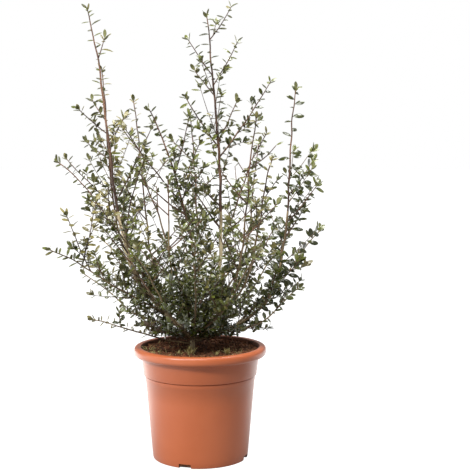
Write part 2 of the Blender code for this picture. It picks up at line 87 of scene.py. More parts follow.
class Pile:
    """Many things of one kind, for one joined mesh."""

    def __init__(self):
        self.corners, self.faces, self.looks, self.count = [], [], [], 0

    def add(self, corners, faces, looks=None):
        """Add one thing, with a material number for each face."""
        self.corners.append(np.array(corners))
        self.faces += [[self.count + i for i in face] for face in faces]
        self.looks += looks or [0] * len(faces)
        self.count += len(corners)

    def make(self, name, materials, slot, nodes, sharp=SHARP):
        """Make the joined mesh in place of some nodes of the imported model."""
        mesh = bpy.data.meshes.new(name)
        mesh.from_pydata(np.concatenate(self.corners) * MM, [], self.faces)
        mesh.polygons.foreach_set("material_index", self.looks)
        for material in materials:
            mesh.materials.append(material)
        outward_faces(mesh)
        mesh.shade_smooth()
        mesh.set_sharp_from_angle(angle=radians(sharp))
        piece = add_object(name, mesh)
        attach(piece, "root")
        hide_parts(*nodes)
        print(name, "has", len(self.faces), "faces")
        return piece


def outward_faces(mesh):
    """Turn all faces to the outside."""
    shell = bmesh.new()
    shell.from_mesh(mesh)
    bmesh.ops.recalc_face_normals(shell, faces=shell.faces)
    shell.to_mesh(mesh)
    shell.free()


def ring_faces(rings, sides):
    """Faces that join rings of corners, with a flat face at each end."""
    faces = [list(range(sides)), list(range((rings - 1) * sides, rings * sides))]
    for ring in range(rings - 1):
        for k in range(sides):
            a, b = ring * sides + k, ring * sides + (k + 1) % sides
            faces.append([a, b, b + sides, a + sides])
    return faces


# %% [markdown]
# ## Paint with small differences
#
# Nothing here has one flat colour: plastic is faintly clouded, bark streaked, leaves
# mottled. One node group mixes two colours by soft blotches and gives a fine grain as a
# height. Each material places it with its own values, beside its own Principled shader.

# %% Node group for blotches and grain
SCREEN_GAMMA = 2.2


def add_nodes(tree, *kinds):
    """Add shader nodes to a node tree."""
    return [tree.nodes.new(f"ShaderNode{kind}") for kind in kinds]


def set_inputs(node, values):
    """Set a node's input sockets."""
    for name, value in values.items():
        node.inputs[name].default_value = value


def make_blotch_group():
    """Group of soft blotches in two colours and a fine grain."""
    group = bpy.data.node_groups.new("blotches and grain", "ShaderNodeTree")
    for way, names in (("INPUT", ("Colour", "Second colour", "Size", "Amount", "Grain size")),
                       ("OUTPUT", ("Colour", "Mask", "Grain"))):
        for name in names:
            kind = "NodeSocketColor" if "colour" in name.lower() else "NodeSocketFloat"
            group.interface.new_socket(name, in_out=way, socket_type=kind)
    start, end = group.nodes.new("NodeGroupInput"), group.nodes.new("NodeGroupOutput")
    place, blotch, grain, spread, share, mix = add_nodes(
        group, "TexCoord", "TexNoise", "TexNoise", "MapRange", "Math", "Mix")
    set_inputs(blotch, {"Detail": 3.0})
    set_inputs(grain, {"Detail": 2.0})
    set_inputs(spread, {"From Min": 0.35, "From Max": 0.65})
    spread.interpolation_type = "SMOOTHSTEP"
    share.operation = "MULTIPLY"
    mix.data_type = "RGBA"
    given, made = start.outputs, end.inputs
    for texture, size in ((blotch, "Size"), (grain, "Grain size")):
        group.links.new(place.outputs["Object"], texture.inputs["Vector"])
        group.links.new(given[size], texture.inputs["Scale"])
    for source, target in (
            (blotch.outputs["Fac"], spread.inputs["Value"]),
            (spread.outputs["Result"], share.inputs[0]),
            (given["Amount"], share.inputs[1]), (share.outputs[0], mix.inputs["Factor"]),
            (given["Colour"], mix.inputs["A"]), (given["Second colour"], mix.inputs["B"]),
            (mix.outputs["Result"], made["Colour"]), (share.outputs[0], made["Mask"]),
            (grain.outputs["Fac"], made["Grain"])):
        group.links.new(source, target)
    return group


blotches = make_blotch_group()


def linear(red, green, blue):
    """Linear values of a colour as it looks on screen, 0 to 255."""
    return (*((c / 255.0) ** SCREEN_GAMMA for c in (red, green, blue)), 1.0)


def make_material(name, colour, second, size, amount, grain, roughness, bump=0.0, rough=0.0):
    """Material with blotches, which the roughness may follow, and a grain in relief."""
    material = bpy.data.materials.new(name)
    material.use_nodes = True
    tree = material.node_tree
    shader, link = tree.nodes["Principled BSDF"], tree.links.new
    paint, = add_nodes(tree, "Group")
    paint.node_tree = blotches
    set_inputs(paint, {"Colour": linear(*colour), "Second colour": linear(*second),
                       "Size": size, "Amount": amount, "Grain size": grain})
    link(paint.outputs["Colour"], shader.inputs["Base Color"])
    set_inputs(shader, {"Roughness": roughness})
    if rough:
        wear, = add_nodes(tree, "MapRange")
        set_inputs(wear, {"To Min": roughness - rough, "To Max": roughness + rough})
        link(paint.outputs["Mask"], wear.inputs["Value"])
        link(wear.outputs["Result"], shader.inputs["Roughness"])
    if bump:
        relief, = add_nodes(tree, "Bump")
        set_inputs(relief, {"Strength": 1.0, "Distance": bump * MM})
        link(paint.outputs["Grain"], relief.inputs["Height"])
        link(relief.outputs["Normal"], shader.inputs["Normal"])
    return material


# %% [markdown]
# ## The pot
#
# The pot is a 5 litre nursery pot, moulded in terracotta coloured plastic: a tapering
# body, a faint line, a groove under a wider band, and a thick rolled rim. It is the same
# all round, so its profile is turned round the axis. The rim is a rounded box in section,
# which a superellipse draws well.

# %% Outline of the pot
POT_HEIGHT = 187.0
RIM_RADIUS = 110.0
RIM_DEPTH = 15.6
MOUTH_RADIUS = 96.5
MOUTH_DEPTH = 3.4
BAND_TOP = 97.6
BAND_LOW = 94.2
STEP_HEIGHT = 140.0
STEP_RADIUS = 91.6
LINE_HEIGHT = 131.0
LINE_STEP = 0.5
GROOVE = 0.8
BASE_RADIUS = 79.2
BASE_ROUND = 1.8
BODY_ROWS = (12.0, 40.0, 70.0, 100.0)
WALL = 2.2
FLOOR = 3.0
RIM_MIDDLE = 103.5
RIM_SQUARENESS = 2.4


def rounded(centre, reach, first, last, count):
    """Points on a superellipse between two angles in degrees."""
    points = []
    for k in range(count + 1):
        angle = radians(first + (last - first) * k / count)
        across, up = cos(angle), sin(angle)
        power = 2.0 / RIM_SQUARENESS
        points.append((centre[0] + reach[0] * copysign(abs(across) ** power, across),
                       centre[1] + reach[1] * copysign(abs(up) ** power, up)))
    return points


def body_radius(height):
    """Radius of the body at a height."""
    return BASE_RADIUS + (STEP_RADIUS - BASE_RADIUS) * height / STEP_HEIGHT


rim_low = POT_HEIGHT - RIM_DEPTH
rim_half = RIM_DEPTH / 2.0
line_radius = body_radius(LINE_HEIGHT)
profile = [(BASE_RADIUS - BASE_ROUND, 0.0), (BASE_RADIUS - 0.5, 0.6)]
profile += [(BASE_RADIUS, BASE_ROUND)]
profile += [(body_radius(h), h) for h in BODY_ROWS]
profile += [
    (line_radius, LINE_HEIGHT - LINE_STEP),
    (line_radius + LINE_STEP, LINE_HEIGHT + 0.2),
    (STEP_RADIUS + LINE_STEP, STEP_HEIGHT - 1.6),
    (STEP_RADIUS - GROOVE, STEP_HEIGHT - 1.0),
    (STEP_RADIUS - GROOVE, STEP_HEIGHT + 0.2),
    (BAND_LOW - 0.5, STEP_HEIGHT),
    (BAND_LOW, STEP_HEIGHT + 1.0),
    (BAND_TOP - 0.5, rim_low - 6.0),
    (BAND_TOP, rim_low - 1.5),
    (BAND_TOP + 0.9, rim_low),
]
profile += rounded((RIM_MIDDLE, rim_low + rim_half), (RIM_RADIUS - RIM_MIDDLE, rim_half),
                       -90.0, 90.0, 20)
profile += rounded((RIM_MIDDLE, POT_HEIGHT - MOUTH_DEPTH),
                       (RIM_MIDDLE - MOUTH_RADIUS, MOUTH_DEPTH), 100.0, 180.0, 6)
profile += [
    (BAND_TOP - WALL, rim_low - WALL),
    (BAND_LOW - WALL, STEP_HEIGHT + 4.0),
    (body_radius(STEP_HEIGHT) - WALL, STEP_HEIGHT + 0.6),
    (body_radius(FLOOR) - WALL, FLOOR),
]
print("the pot's outline has", len(profile), "points")

# %% [markdown]
# A Boolean then cuts four drain notches in the foot of the turned pot, and is applied
# straight away so that the mesh is final. The faces inside a notch, and the foot's lowest
# edge, take the dull, darker colour of the inner wall, which paints shade there.

# %% Turn the pot and cut its drain notches
POT_SIDES = 144
INSIDE_POINTS = 8
NOTCHES = 4
NOTCH_WIDTH = 20.5
NOTCH_HEIGHT = 7.0
NOTCH_DEPTH = 8.0
NOTCH_TURN = -16.8
CUT_INSET = 0.6
CUT_SLACK = 0.1


def turn(outline, sides):
    """Corners of a profile turned round the Z axis."""
    corners = []
    for radius, height in outline:
        for k in range(sides):
            angle = 2.0 * pi * k / sides
            corners.append((radius * cos(angle), radius * sin(angle), height))
    return corners


def notch_cutter(number):
    """Box that cuts one drain notch."""
    angle = radians(NOTCH_TURN - 90.0 + 360.0 / NOTCHES * number)
    out = Vector((cos(angle), sin(angle), 0.0))
    side = Vector((-out.y, out.x, 0.0)) * NOTCH_WIDTH / 2.0
    near, far = out * (BASE_RADIUS - NOTCH_DEPTH), out * (BASE_RADIUS + NOTCH_DEPTH)
    corners = []
    for height in (-NOTCH_HEIGHT, NOTCH_HEIGHT):
        up = Vector((0.0, 0.0, height))
        corners += [near - side + up, far - side + up, far + side + up, near + side + up]
    return corners, ring_faces(2, 4)


def cut_notches(pot):
    """Cut the drain notches out of the pot's mesh."""
    mesh = bpy.data.meshes.new("notches")
    boxes = Pile()
    for number in range(NOTCHES):
        boxes.add(*notch_cutter(number))
    mesh.from_pydata(np.concatenate(boxes.corners) * MM, [], boxes.faces)
    outward_faces(mesh)
    cutter = add_object("notches", mesh)
    mod = pot.modifiers.new("notches", "BOOLEAN")
    mod.operation, mod.object, mod.solver = "DIFFERENCE", cutter, "EXACT"
    graph = bpy.context.evaluated_depsgraph_get()
    cut_mesh = bpy.data.meshes.new_from_object(pot.evaluated_get(graph))
    pot.modifiers.remove(mod)
    pot.data = cut_mesh
    # Faces inside a notch, and the foot's lowest edge, take the darker inner wall colour as
    # painted shade.
    for face in cut_mesh.polygons:
        x, y, height = face.center / MM
        low = CUT_SLACK < height < NOTCH_HEIGHT + CUT_SLACK
        if low and hypot(x, y) < BASE_RADIUS - CUT_INSET:
            face.material_index = 1
    bpy.data.objects.remove(cutter)
    cut_mesh.set_sharp_from_angle(angle=radians(SHARP))


plastic = make_material("terracotta plastic", (174, 91, 53), (181, 98, 60), 9.0, 0.8,
                        900.0, 0.36, bump=0.04, rough=0.02)
# The inner wall, up over the mouth's inner rounding, is darker: partly real dirt from the soil,
# partly painted shade.
dirt_and_painted_shade = make_material("inner wall with dirt and painted shade", (104, 62, 40), (74, 45, 30), 30.0, 1.0, 500.0, 0.85)
inside = len(profile) - INSIDE_POINTS - 1
pot_looks = [0, 1] + [int(row >= inside) for row in range(len(profile) - 1)
                      for _ in range(POT_SIDES)]
pot_pile = Pile()
pot_pile.add(turn(profile, POT_SIDES), ring_faces(len(profile), POT_SIDES), pot_looks)
nursery_pot = pot_pile.make("nursery_pot", [plastic, dirt_and_painted_shade], "pot_plastic", ["pot"])
cut_notches(nursery_pot)

# %% [markdown]
# ## The soil
#
# The pot is full of dark, coarse compost, banked up to the wall. Its top is a fine polar
# grid that noise lifts and dents. Lumps of peat, chips of bark and pale straw lie on it,
# because real lumps throw real shadows, which a bump map would not.

# %% Rough top of the compost
SOIL_CLEAR = 0.4
SOIL_TOP = 175.0
SOIL_EDGE = 180.0
SOIL_FLAT = 30.0
SOIL_SIDES = 150
SOIL_RINGS = 40
SOIL_ROUGH = 1.5
SOIL_LUMP = 0.16


def soil_edge():
    """Radius of the compost at the flared mouth."""
    low = POT_HEIGHT - RIM_DEPTH - WALL
    flare = (MOUTH_RADIUS - BAND_TOP + WALL) / (POT_HEIGHT - MOUTH_DEPTH - low)
    return BAND_TOP - WALL + flare * (SOIL_EDGE - low) - SOIL_CLEAR


def soil_height(x, y):
    """Height of the compost at a place."""
    radius = hypot(x, y)
    reach = soil_edge()
    bank = max(0.0, (radius - SOIL_FLAT) / (reach - SOIL_FLAT))
    rough = noise.noise(Vector((x, y, 0.0)) * SOIL_LUMP)
    rough += 0.5 * noise.noise(Vector((x, y, 9.0)) * SOIL_LUMP * 3.0)
    return SOIL_TOP + (SOIL_EDGE - SOIL_TOP) * bank + SOIL_ROUGH * rough


def soil_mesh():
    """Corners and faces of the compost, from its top to the pot's floor."""
    reach = soil_edge()
    corners = []
    for ring in range(SOIL_RINGS):
        radius = reach * (ring + 0.3) / (SOIL_RINGS - 0.7)
        for x, y, _ in turn([(radius, 0.0)], SOIL_SIDES):
            corners.append((x, y, soil_height(x, y)))
    inset = WALL + SOIL_CLEAR
    corners += turn([(BAND_TOP - inset, rim_low - WALL),
                     (BAND_LOW - inset, STEP_HEIGHT + 4.6),
                     (body_radius(STEP_HEIGHT) - inset, STEP_HEIGHT + 0.2),
                     (body_radius(FLOOR) - inset, FLOOR + 0.3)], SOIL_SIDES)
    return corners, ring_faces(SOIL_RINGS + 4, SOIL_SIDES)


compost = make_material("compost", (128, 82, 54), (80, 51, 33), 90.0, 1.0, 700.0, 0.92, bump=0.6)
soil_pile = Pile()
soil_pile.add(*soil_mesh())
potting_soil = soil_pile.make("potting_soil", [compost], "soil", ["soil"], 60.0)

# %% [markdown]
# A row of LOOSE gives how many things there are, the spans of their three sizes, and how
# far out of the soil they stand. The tufts are dry moss: a row gives place, number of
# blades, their length and their least rise.

# %% Lumps, chips, straw and tufts on the compost
SOIL_SEED = 11
LOOSE = {"lumps": (1500, ((0.9, 3.2),) * 3, 0.3),
         "chips": (110, ((2.0, 5.0), (1.2, 2.4), (0.5, 1.0)), 0.7),
         "straw": (70, ((1.5, 6.0), (0.3, 0.7), (0.3, 0.6)), 0.9)}
LOOSE_SHARP = 25.0
UNEVEN = (0.75, 1.15)
EDGE_CLEAR = 2.0
GOLDEN = (1.0 + sqrt(5.0)) / 2.0
TUFTS = ((-15, -31, 44, 25, 50), (45, -32, 34, 19, 42), (27, -30, 16, 13, 40),
         (-34, -30, 16, 14, 35), (-84, -12, 22, 22, 3), (-72, -30, 18, 20, 3),
         (-52, -46, 10, 12, 8), (62, -30, 10, 11, 20), (6, -62, 8, 9, 5),
         (22, -58, 8, 9, 5), (60, 6, 10, 12, 10), (-30, 34, 8, 12, 10))
TUFT_SPREAD = (-3.0, 3.0)
TUFT_RISES = (0.0, 38.0)
TUFT_SIZES = (0.5, 1.1)
BLADE_WIDTH = 0.6
BLADE_DEPTH = 0.3
BLADE_ROOT = 0.5
BLADE_BEND = 0.25
BLADE_FACES = [[0, 2, 1], [0, 1, 4, 3], [1, 2, 5, 4], [2, 0, 3, 5],
               [3, 4, 6], [4, 5, 6], [5, 3, 6]]
UP = Vector((0.0, 0.0, 1.0))


def ball():
    """Corners and faces of an icosahedron."""
    corners = []
    for a in (-1.0, 1.0):
        for b in (-GOLDEN, GOLDEN):
            corners += [(0.0, a, b), (a, b, 0.0), (b, 0.0, a)]
    shell = bmesh.new()
    for corner in corners:
        shell.verts.new(corner)
    hull = bmesh.ops.convex_hull(shell, input=shell.verts)
    shell.verts.index_update()
    faces = [[v.index for v in f.verts] for f in hull["geom"] if isinstance(f, bmesh.types.BMFace)]
    shell.free()
    return np.array(corners) / hypot(1.0, GOLDEN), faces


def random_turn(rng):
    """Any rotation, as a matrix."""
    first = Vector([rng.gauss(0.0, 1.0) for _ in range(3)]).normalized()
    second = first.cross(Vector([rng.gauss(0.0, 1.0) for _ in range(3)])).normalized()
    return np.array((first, second, first.cross(second)))


def direction(yaw, rise):
    """Direction at a heading and a rise, in radians."""
    return Vector((cos(yaw) * cos(rise), sin(yaw) * cos(rise), sin(rise)))


def scatter(pile, count, spans, stand, rng):
    """Scatter uneven lumps over the compost."""
    corners, faces = ball()
    edge = soil_edge() - EDGE_CLEAR
    for _ in range(count):
        radius, angle = edge * sqrt(rng.random()), rng.uniform(0.0, 2.0 * pi)
        x, y = radius * cos(angle), radius * sin(angle)
        size = [rng.uniform(*span) for span in spans]
        uneven = corners * np.array([rng.uniform(*UNEVEN) for _ in corners])[:, None]
        shape = (uneven * size) @ random_turn(rng)
        lift = shape[:, 2].max() * stand
        pile.add(shape + (x, y, soil_height(x, y) + lift), faces)


def add_tufts(pile, rng):
    """Add tufts of thin dry blades."""
    for x, y, count, length, least_rise in TUFTS:
        for _ in range(count):
            yaw = rng.uniform(0.0, 2.0 * pi)
            rise = radians(least_rise + rng.uniform(*TUFT_RISES))
            size = length * rng.uniform(*TUFT_SIZES)
            foot = Vector((x + rng.uniform(*TUFT_SPREAD), y + rng.uniform(*TUFT_SPREAD), 0.0))
            foot.z = soil_height(foot.x, foot.y) - BLADE_ROOT
            aim = direction(yaw, rise)
            side = aim.cross(UP).normalized() * BLADE_WIDTH
            middle, tip = foot + aim * size * 0.5, foot + aim * size - UP * (BLADE_BEND * size)
            lift = UP * BLADE_DEPTH
            pile.add([foot - side, foot + side, foot + lift, middle - side, middle + side,
                      middle + lift, tip], BLADE_FACES)


rng = random.Random(SOIL_SEED)
loose = {kind: Pile() for kind in LOOSE}
for kind, row in LOOSE.items():
    scatter(loose[kind], *row, rng)
tufts = Pile()
add_tufts(tufts, rng)
chip_bark = make_material("bark chips", (134, 98, 68), (92, 64, 44), 120.0, 1.0, 500.0, 0.85,
                          bump=0.3)
straw = make_material("pale straw", (182, 166, 116), (146, 126, 84), 150.0, 1.0, 500.0, 0.8)
moss = make_material("dry moss", (206, 192, 132), (146, 128, 80), 150.0, 1.0, 500.0, 0.8)
for kind, look in zip(LOOSE, (compost, chip_bark, straw)):
    loose[kind].make(f"soil_{kind}", [look], "soil", ["soil"], LOOSE_SHARP)
tufts.make("soil_tufts", [moss], "soil", ["soil"])

# %% [markdown]
# ## The plan of the crown
#
# The solids were grown from a short plan: a leader for each main shoot, and side limbs for
# the shoots that show in the outline. The same plan, with the same rule, is written here
# again. Then finer twigs and leaves grow on within the same reach.

# %% Leaders: parent, share of its bare bough, bend, tip, radius at the foot
LEADERS = {
    "left_leader": ("trunk", 0.35, (-117, 10, 326), (-188, 30, 750), 2.7),
    "right_leader": ("trunk", 0.25, (124, 25, 280), (162, 45, 621), 2.6),
    "centre_leader": ("trunk", 0.50, (33, 20, 325), (11, 45, 744), 2.8),
    "mid_left": ("trunk", 1.00, (-18, -25, 390), (-83, -45, 584), 2.5),
    "right_inner": ("trunk", 0.45, (79, -45, 308), (119, -75, 505), 2.2),
    "slope_left": ("trunk", 0.70, (-30, -65, 295), (-92, -120, 486), 2.0),
    "back_centre": ("trunk", 0.85, (-6, 85, 331), (-22, 150, 582), 2.1),
    "left_rim": ("trunk", 0.20, (-77, -40, 209), (-176, -75, 244), 1.5),
    "front_low_left": ("trunk", 0.30, (-48, -75, 254), (-100, -150, 358), 1.6),
    "front_low": ("trunk", 0.55, (-4, -85, 266), (-2, -170, 382), 1.6),
    "front_low_right": ("trunk", 0.40, (42, -70, 259), (99, -140, 357), 1.6),
    "back_low": ("trunk", 0.60, (-12, 85, 261), (-52, 190, 396), 1.7),
    "back_low_right": ("trunk", 0.30, (75, 80, 253), (161, 150, 362), 1.7),
    "left_twin": ("left_leader", 0.74, (-142, 45, 385), (-169, 55, 657), 1.6),
    "left_reach": ("left_leader", 0.88, (-139, -55, 396), (-227, -80, 497), 1.5),
    "left_inner": ("left_leader", 0.66, (-113, -75, 392), (-75, -115, 506), 1.6),
    "left_low": ("left_leader", 0.60, (-140, -50, 294), (-240, -90, 358), 1.7),
    "back_left": ("left_leader", 0.50, (-89, 75, 340), (-121, 120, 606), 1.9),
    "left_sweep": ("left_leader", 0.36, (-116, 30, 239), (-210, 60, 304), 1.5),
    "back_low_left": ("left_leader", 0.24, (-89, 75, 254), (-193, 140, 362), 1.7),
    "centre_right": ("centre_leader", 0.85, (49, 65, 384), (117, 110, 546), 1.7),
    "cross_right": ("centre_leader", 0.65, (58, -30, 329), (114, -55, 421), 1.6),
    "back_right": ("centre_leader", 0.40, (75, 95, 330), (103, 165, 532), 1.9),
    "right_reach": ("right_leader", 0.76, (144, 55, 297), (212, 85, 376), 1.6),
    "right_low": ("right_leader", 0.55, (108, 5, 229), (172, 20, 284), 1.5),
    "front_right": ("right_inner", 0.70, (66, -90, 335), (91, -130, 569), 1.8),
    "front_left": ("slope_left", 0.55, (-43, -110, 336), (-42, -165, 479), 1.6),
}
BEND_LEAN = 0.75
TIP_LEAN = 0.6
BARE_SHARE = 0.22
BARE_LEAST = 45.0
BARE_MOST = 100.0
print(len(LEADERS), "leaders")

# %% Side limbs: share of the leader, heading, pitch, length
SIDE_LIMBS = {
    "left_leader": ((0.45, 40, 60, 160), (0.61, 55, 50, 70), (0.85, 40, 70, 45)),
    "left_twin": ((0.45, -165, 45, 120), (0.63, 160, 35, 60), (0.73, -160, 40, 70),
                  (0.78, 135, 45, 60)),
    "left_reach": ((0.67, -115, 15, 40),),
    "left_low": ((0.65, -125, 60, 115), (0.72, -45, 70, 120)),
    "mid_left": ((0.47, -145, 35, 100), (0.52, -150, 50, 165), (0.54, -45, 45, 85),
                 (0.59, -5, 65, 90), (0.66, -55, 65, 110)),
    "centre_leader": ((0.40, 140, 40, 105), (0.55, -10, 55, 160), (0.58, -160, 55, 110),
                      (0.60, 50, 55, 95), (0.74, 140, 45, 70), (0.77, -10, 60, 90),
                      (0.80, -165, 55, 80), (0.91, 25, 55, 80)),
    "centre_right": ((0.67, 70, 45, 75),),
    "right_inner": ((0.72, -145, 45, 70),),
    "right_leader": ((0.50, 45, 45, 75), (0.55, -15, 50, 90), (0.64, 40, 45, 90)),
    "right_reach": ((0.59, 45, 5, 50),),
}
LIMB_EVERY = 60.0
LIMB_TOP = 0.82
LIMB_SHARE = 0.55
LIMB_LEAST = 14.0
LIMB_MOST = 85.0
LIMB_TURN = 80.0
LIMB_PITCH = 48.0
LIMB_SAG = 0.06
LIMB_ROOM = 9.0
LIMB_FREE = 6.0
LIMB_SWING = 25.0
PITCH_SWING = 8.0
LIMB_MARGIN = 0.03
LIMB_RETRIES = (0.0, 35.0, -35.0, 180.0)
SEED = 7
NOISE_SEED = 6
noise.seed_set(NOISE_SEED)

# %% [markdown]
# ## Lines through space
#
# A shoot is a line first. These helpers measure a line, find the place and direction at a
# distance along it, cut a stretch out of it, and bend it. `wander` pushes it a little to
# and fro by smooth noise, whose seed is set above so that every run gives the same plant.

# %% Helpers for lines
def path_length(path):
    """Length along a path."""
    return sum((q - p).length for p, q in zip(path, path[1:]))


def walk(path, distance):
    """Point and direction at a distance along."""
    for p, q in zip(path, path[1:]):
        length = (q - p).length
        if distance <= length:
            return p.lerp(q, max(0.0, distance) / length), (q - p) / length
        distance -= length
    return path[-1].copy(), (path[-1] - path[-2]).normalized()


def cut(path, start, stop, step):
    """Stretch between two distances, with points about a step apart."""
    count = max(1, round((stop - start) / step))
    return [walk(path, start + (stop - start) * k / count)[0] for k in range(count + 1)]


def bow(start, middle, end, count):
    """Simple curve that starts towards a middle point."""
    shares = [k / count for k in range(count + 1)]
    return [start * (1 - t)**2 + middle * 2 * t * (1 - t) + end * t**2 for t in shares]


def spline(a, b, c, step):
    """Smooth path through three points, steeper after the middle one."""
    d1, d2 = (b - a).length, (c - b).length
    u1, u2 = (b - a) / d1, (c - b) / d2
    middle = u1 * (1.0 - BEND_LEAN) + u2 * BEND_LEAN
    first = u1 * 1.5 - middle * 0.5
    last = u2 + Vector((u2.x, u2.y, 0.0)) * TIP_LEAN
    points = [a.copy()]
    for p, q, t0, t1, length in ((a, b, first, middle, d1), (b, c, middle, last, d2)):
        count = max(3, round(length / step))
        for k in range(1, count + 1):
            t = k / count
            h0, h1 = 2 * t**3 - 3 * t**2 + 1, t**3 - 2 * t**2 + t
            h2, h3 = 3 * t**2 - 2 * t**3, t**3 - t**2
            points.append(p * h0 + t0 * length * h1 + q * h2 + t1 * length * h3)
    return points


def wander(path, amount, scale=0.03):
    """The same path, pushed to and fro except at its foot."""
    last = len(path) - 1
    return [p + Vector(noise.noise_vector(p * scale)) * amount * min(1.0, 3.0 * k / last)
            for k, p in enumerate(path)]


REFERENCE = Vector((0.25, 0.95, -0.20))


def outward(along, heading):
    """Direction square to a shoot, at a heading."""
    across = along.cross(REFERENCE).normalized()
    other = along.cross(across)
    return across * cos(radians(heading)) + other * sin(radians(heading))


# %% [markdown]
# ## Leaders and limbs
#
# Every leader starts on its parent's axis, so the fork closes by itself: the thinner limb
# starts inside the thicker one. Limbs follow the rule of the solids, with the same seed,
# and one that comes too near another leader's wood tries another heading or is left out.

# %% Grow the leaders and their side limbs
TRUNK_FOOT = (-13.0, 0.0)
TRUNK_TOP = (-10.0, 3.0, 244.0)
TRUNK_BOW = -1.5
SOLID_GAP = 0.3
LEAF_LENGTH = 15.7
TIP_SHARE = 0.55
TRUNK_STEPS = 24
SPLINE_STEP = 6.0
BARE_STEP = 0.5
LEADER_STEP = 4.0
LIMB_STEP = 8.0


def limb_path(stem, where, heading, pitch, length):
    """Path of a side limb, which sags a little."""
    root, _ = walk(stem, where)
    aim = direction(radians(heading), radians(pitch))
    tip = root + aim * (length - LEAF_LENGTH * TIP_SHARE)
    middle = root + aim * length * 0.5 - UP * (LIMB_SAG * length)
    return bow(root, middle, tip, max(4, round(length / LIMB_STEP)))


def rule_limbs(name, bare, total, rng):
    """Side limbs that the rule adds below the measured ones."""
    _, _, bend, tip, _ = LEADERS[name]
    heading = degrees(atan2(tip[1] - bend[1], tip[0] - bend[0]))
    measured = [where - LIMB_MARGIN for where, _, _, _ in SIDE_LIMBS.get(name, ())]
    top = min(measured + [LIMB_TOP])
    count = int((top - bare) * total / LIMB_EVERY + 0.5)
    limbs = []
    for k in range(count):
        where = bare + (top - bare) * (k + 0.6) / count
        turn_by = heading + (LIMB_TURN if k % 2 else -LIMB_TURN)
        turn_by += rng.uniform(-LIMB_SWING, LIMB_SWING)
        size = min(LIMB_MOST, LIMB_SHARE * total * (1.0 - where) + LIMB_LEAST)
        limbs.append((where, turn_by, LIMB_PITCH + rng.uniform(-PITCH_SWING, PITCH_SWING), size))
    return limbs


def grow_leaders():
    """Paths of the trunk and the leaders, with the bare length of each."""
    foot = Vector((*TRUNK_FOOT, SOIL_TOP + SOLID_GAP))
    top = Vector(TRUNK_TOP)
    trunk = bow(foot, foot.lerp(top, 0.5) + Vector((TRUNK_BOW, 0.0, 0.0)), top, TRUNK_STEPS)
    bare_parts, leaders = {"trunk": trunk}, {}
    for name, (parent, share, bend, tip, girth) in LEADERS.items():
        origin, _ = walk(bare_parts[parent], share * path_length(bare_parts[parent]))
        whole = spline(origin, Vector(bend), Vector(tip), SPLINE_STEP)
        total = path_length(whole)
        bare = min(BARE_MOST, max(BARE_LEAST, BARE_SHARE * total))
        bare_parts[name] = cut(whole, 0.0, bare, BARE_STEP)
        kept = cut(whole, 0.0, total - LEAF_LENGTH * TIP_SHARE, LEADER_STEP)
        leaders[name] = (kept, bare, total)
    return trunk, leaders


def grow_limbs(leaders):
    """Side limbs of every leader, as (place on the leader, path)."""
    wood = [(name, point) for name, (path, _, _) in leaders.items() for point in path]
    limbs = {}
    for name, (path, _, total) in leaders.items():
        limbs[name] = [(total * where, limb_path(path, total * where, heading, pitch, length))
                       for where, heading, pitch, length in SIDE_LIMBS.get(name, ())]
        wood += [(name, point) for _, limb in limbs[name] for point in limb]
    rng = random.Random(SEED)
    for name, (path, bare, total) in leaders.items():
        others = [point for owner, point in wood if owner != name]
        for where, heading, pitch, length in rule_limbs(name, bare / total, total, rng):
            for extra in LIMB_RETRIES:
                limb = limb_path(path, total * where, heading + extra, pitch, length)
                points = cut(limb, LIMB_FREE, path_length(limb), SPLINE_STEP)
                if all((p - q).length > LIMB_ROOM for p in points for q in others):
                    limbs[name].append((total * where, limb))
                    wood += [(name, point) for point in points]
                    break
    return limbs


trunk_line, leaders = grow_leaders()
limbs = grow_limbs(leaders)
print(sum(len(found) for found in limbs.values()), "side limbs")

# %% [markdown]
# ## Bark with relief
#
# Holly wood is grey-brown when old and reddish brown when young, with fine ridges along
# the shoot and small knots where leaves fell. A limb is a row of rings along its line, and
# noise pushes every corner in or out by a share of the radius. A SHAPE gives radius at foot
# and tip, sides, and step between rings. The trunk spreads in lobes at the soil.

# %% Skin a line with bark
BARK_RELIEF = 0.16
BARK_ACROSS = 0.55
BARK_ALONG = 0.10
KNOT_EVERY = 9.0
KNOT_SWELL = 0.14
LIMB_TAPER = 0.8


def bark_swell(point, out, distance):
    """Share by which the skin stands out."""
    ridge = noise.noise(Vector((out.x, out.y, out.z)) * BARK_ACROSS * 4.0 + point * BARK_ALONG)
    knot = max(0.0, cos(2.0 * pi * distance / KNOT_EVERY)) ** 8
    return BARK_RELIEF * ridge + KNOT_SWELL * knot * (0.5 + 0.5 * noise.noise(point * 0.2))


def add_limb(pile, path, foot, tip, sides, step, extra=None, young_from=None, old_look=0):
    """Add a tapering limb with bark in relief, and young bark from a height."""
    total = path_length(path)
    rings = cut(path, 0.0, total, step)
    last = len(rings) - 1
    corners = []
    for k, point in enumerate(rings):
        along = (rings[min(last, k + 1)] - rings[max(0, k - 1)]).normalized()
        radius = tip + (foot - tip) * (1.0 - k / last) ** LIMB_TAPER
        distance = total * k / last
        for s in range(sides):
            heading = 360.0 * s / sides
            out = outward(along, heading)
            reach = radius * (1.0 + bark_swell(point, out, distance))
            if extra:
                reach += extra(distance, heading)
            corners.append(point + out * reach)
    looks = None
    if young_from:
        looks = [old_look, 1]
        looks += [1 if ring.z > young_from else old_look
                  for ring in rings[1:] for _ in range(sides)]
    pile.add(corners, ring_faces(len(rings), sides), looks)


# %% Trunk with its root flare, and the leaders
TRUNK_SHAPE = (4.3, 3.3, 20, 1.0)
FLARE = 4.0
FLARE_HEIGHT = 3.2
FLARE_LOBES = 5
LOBE_DEPTH = 0.375
STEM_SIDES = (7, 9)
STEM_RING = 2.5
THICK_STEM = 2.0
STEM_TIP = 0.8
STEM_STOUT = 1.25
YOUNG_BARK = 410.0
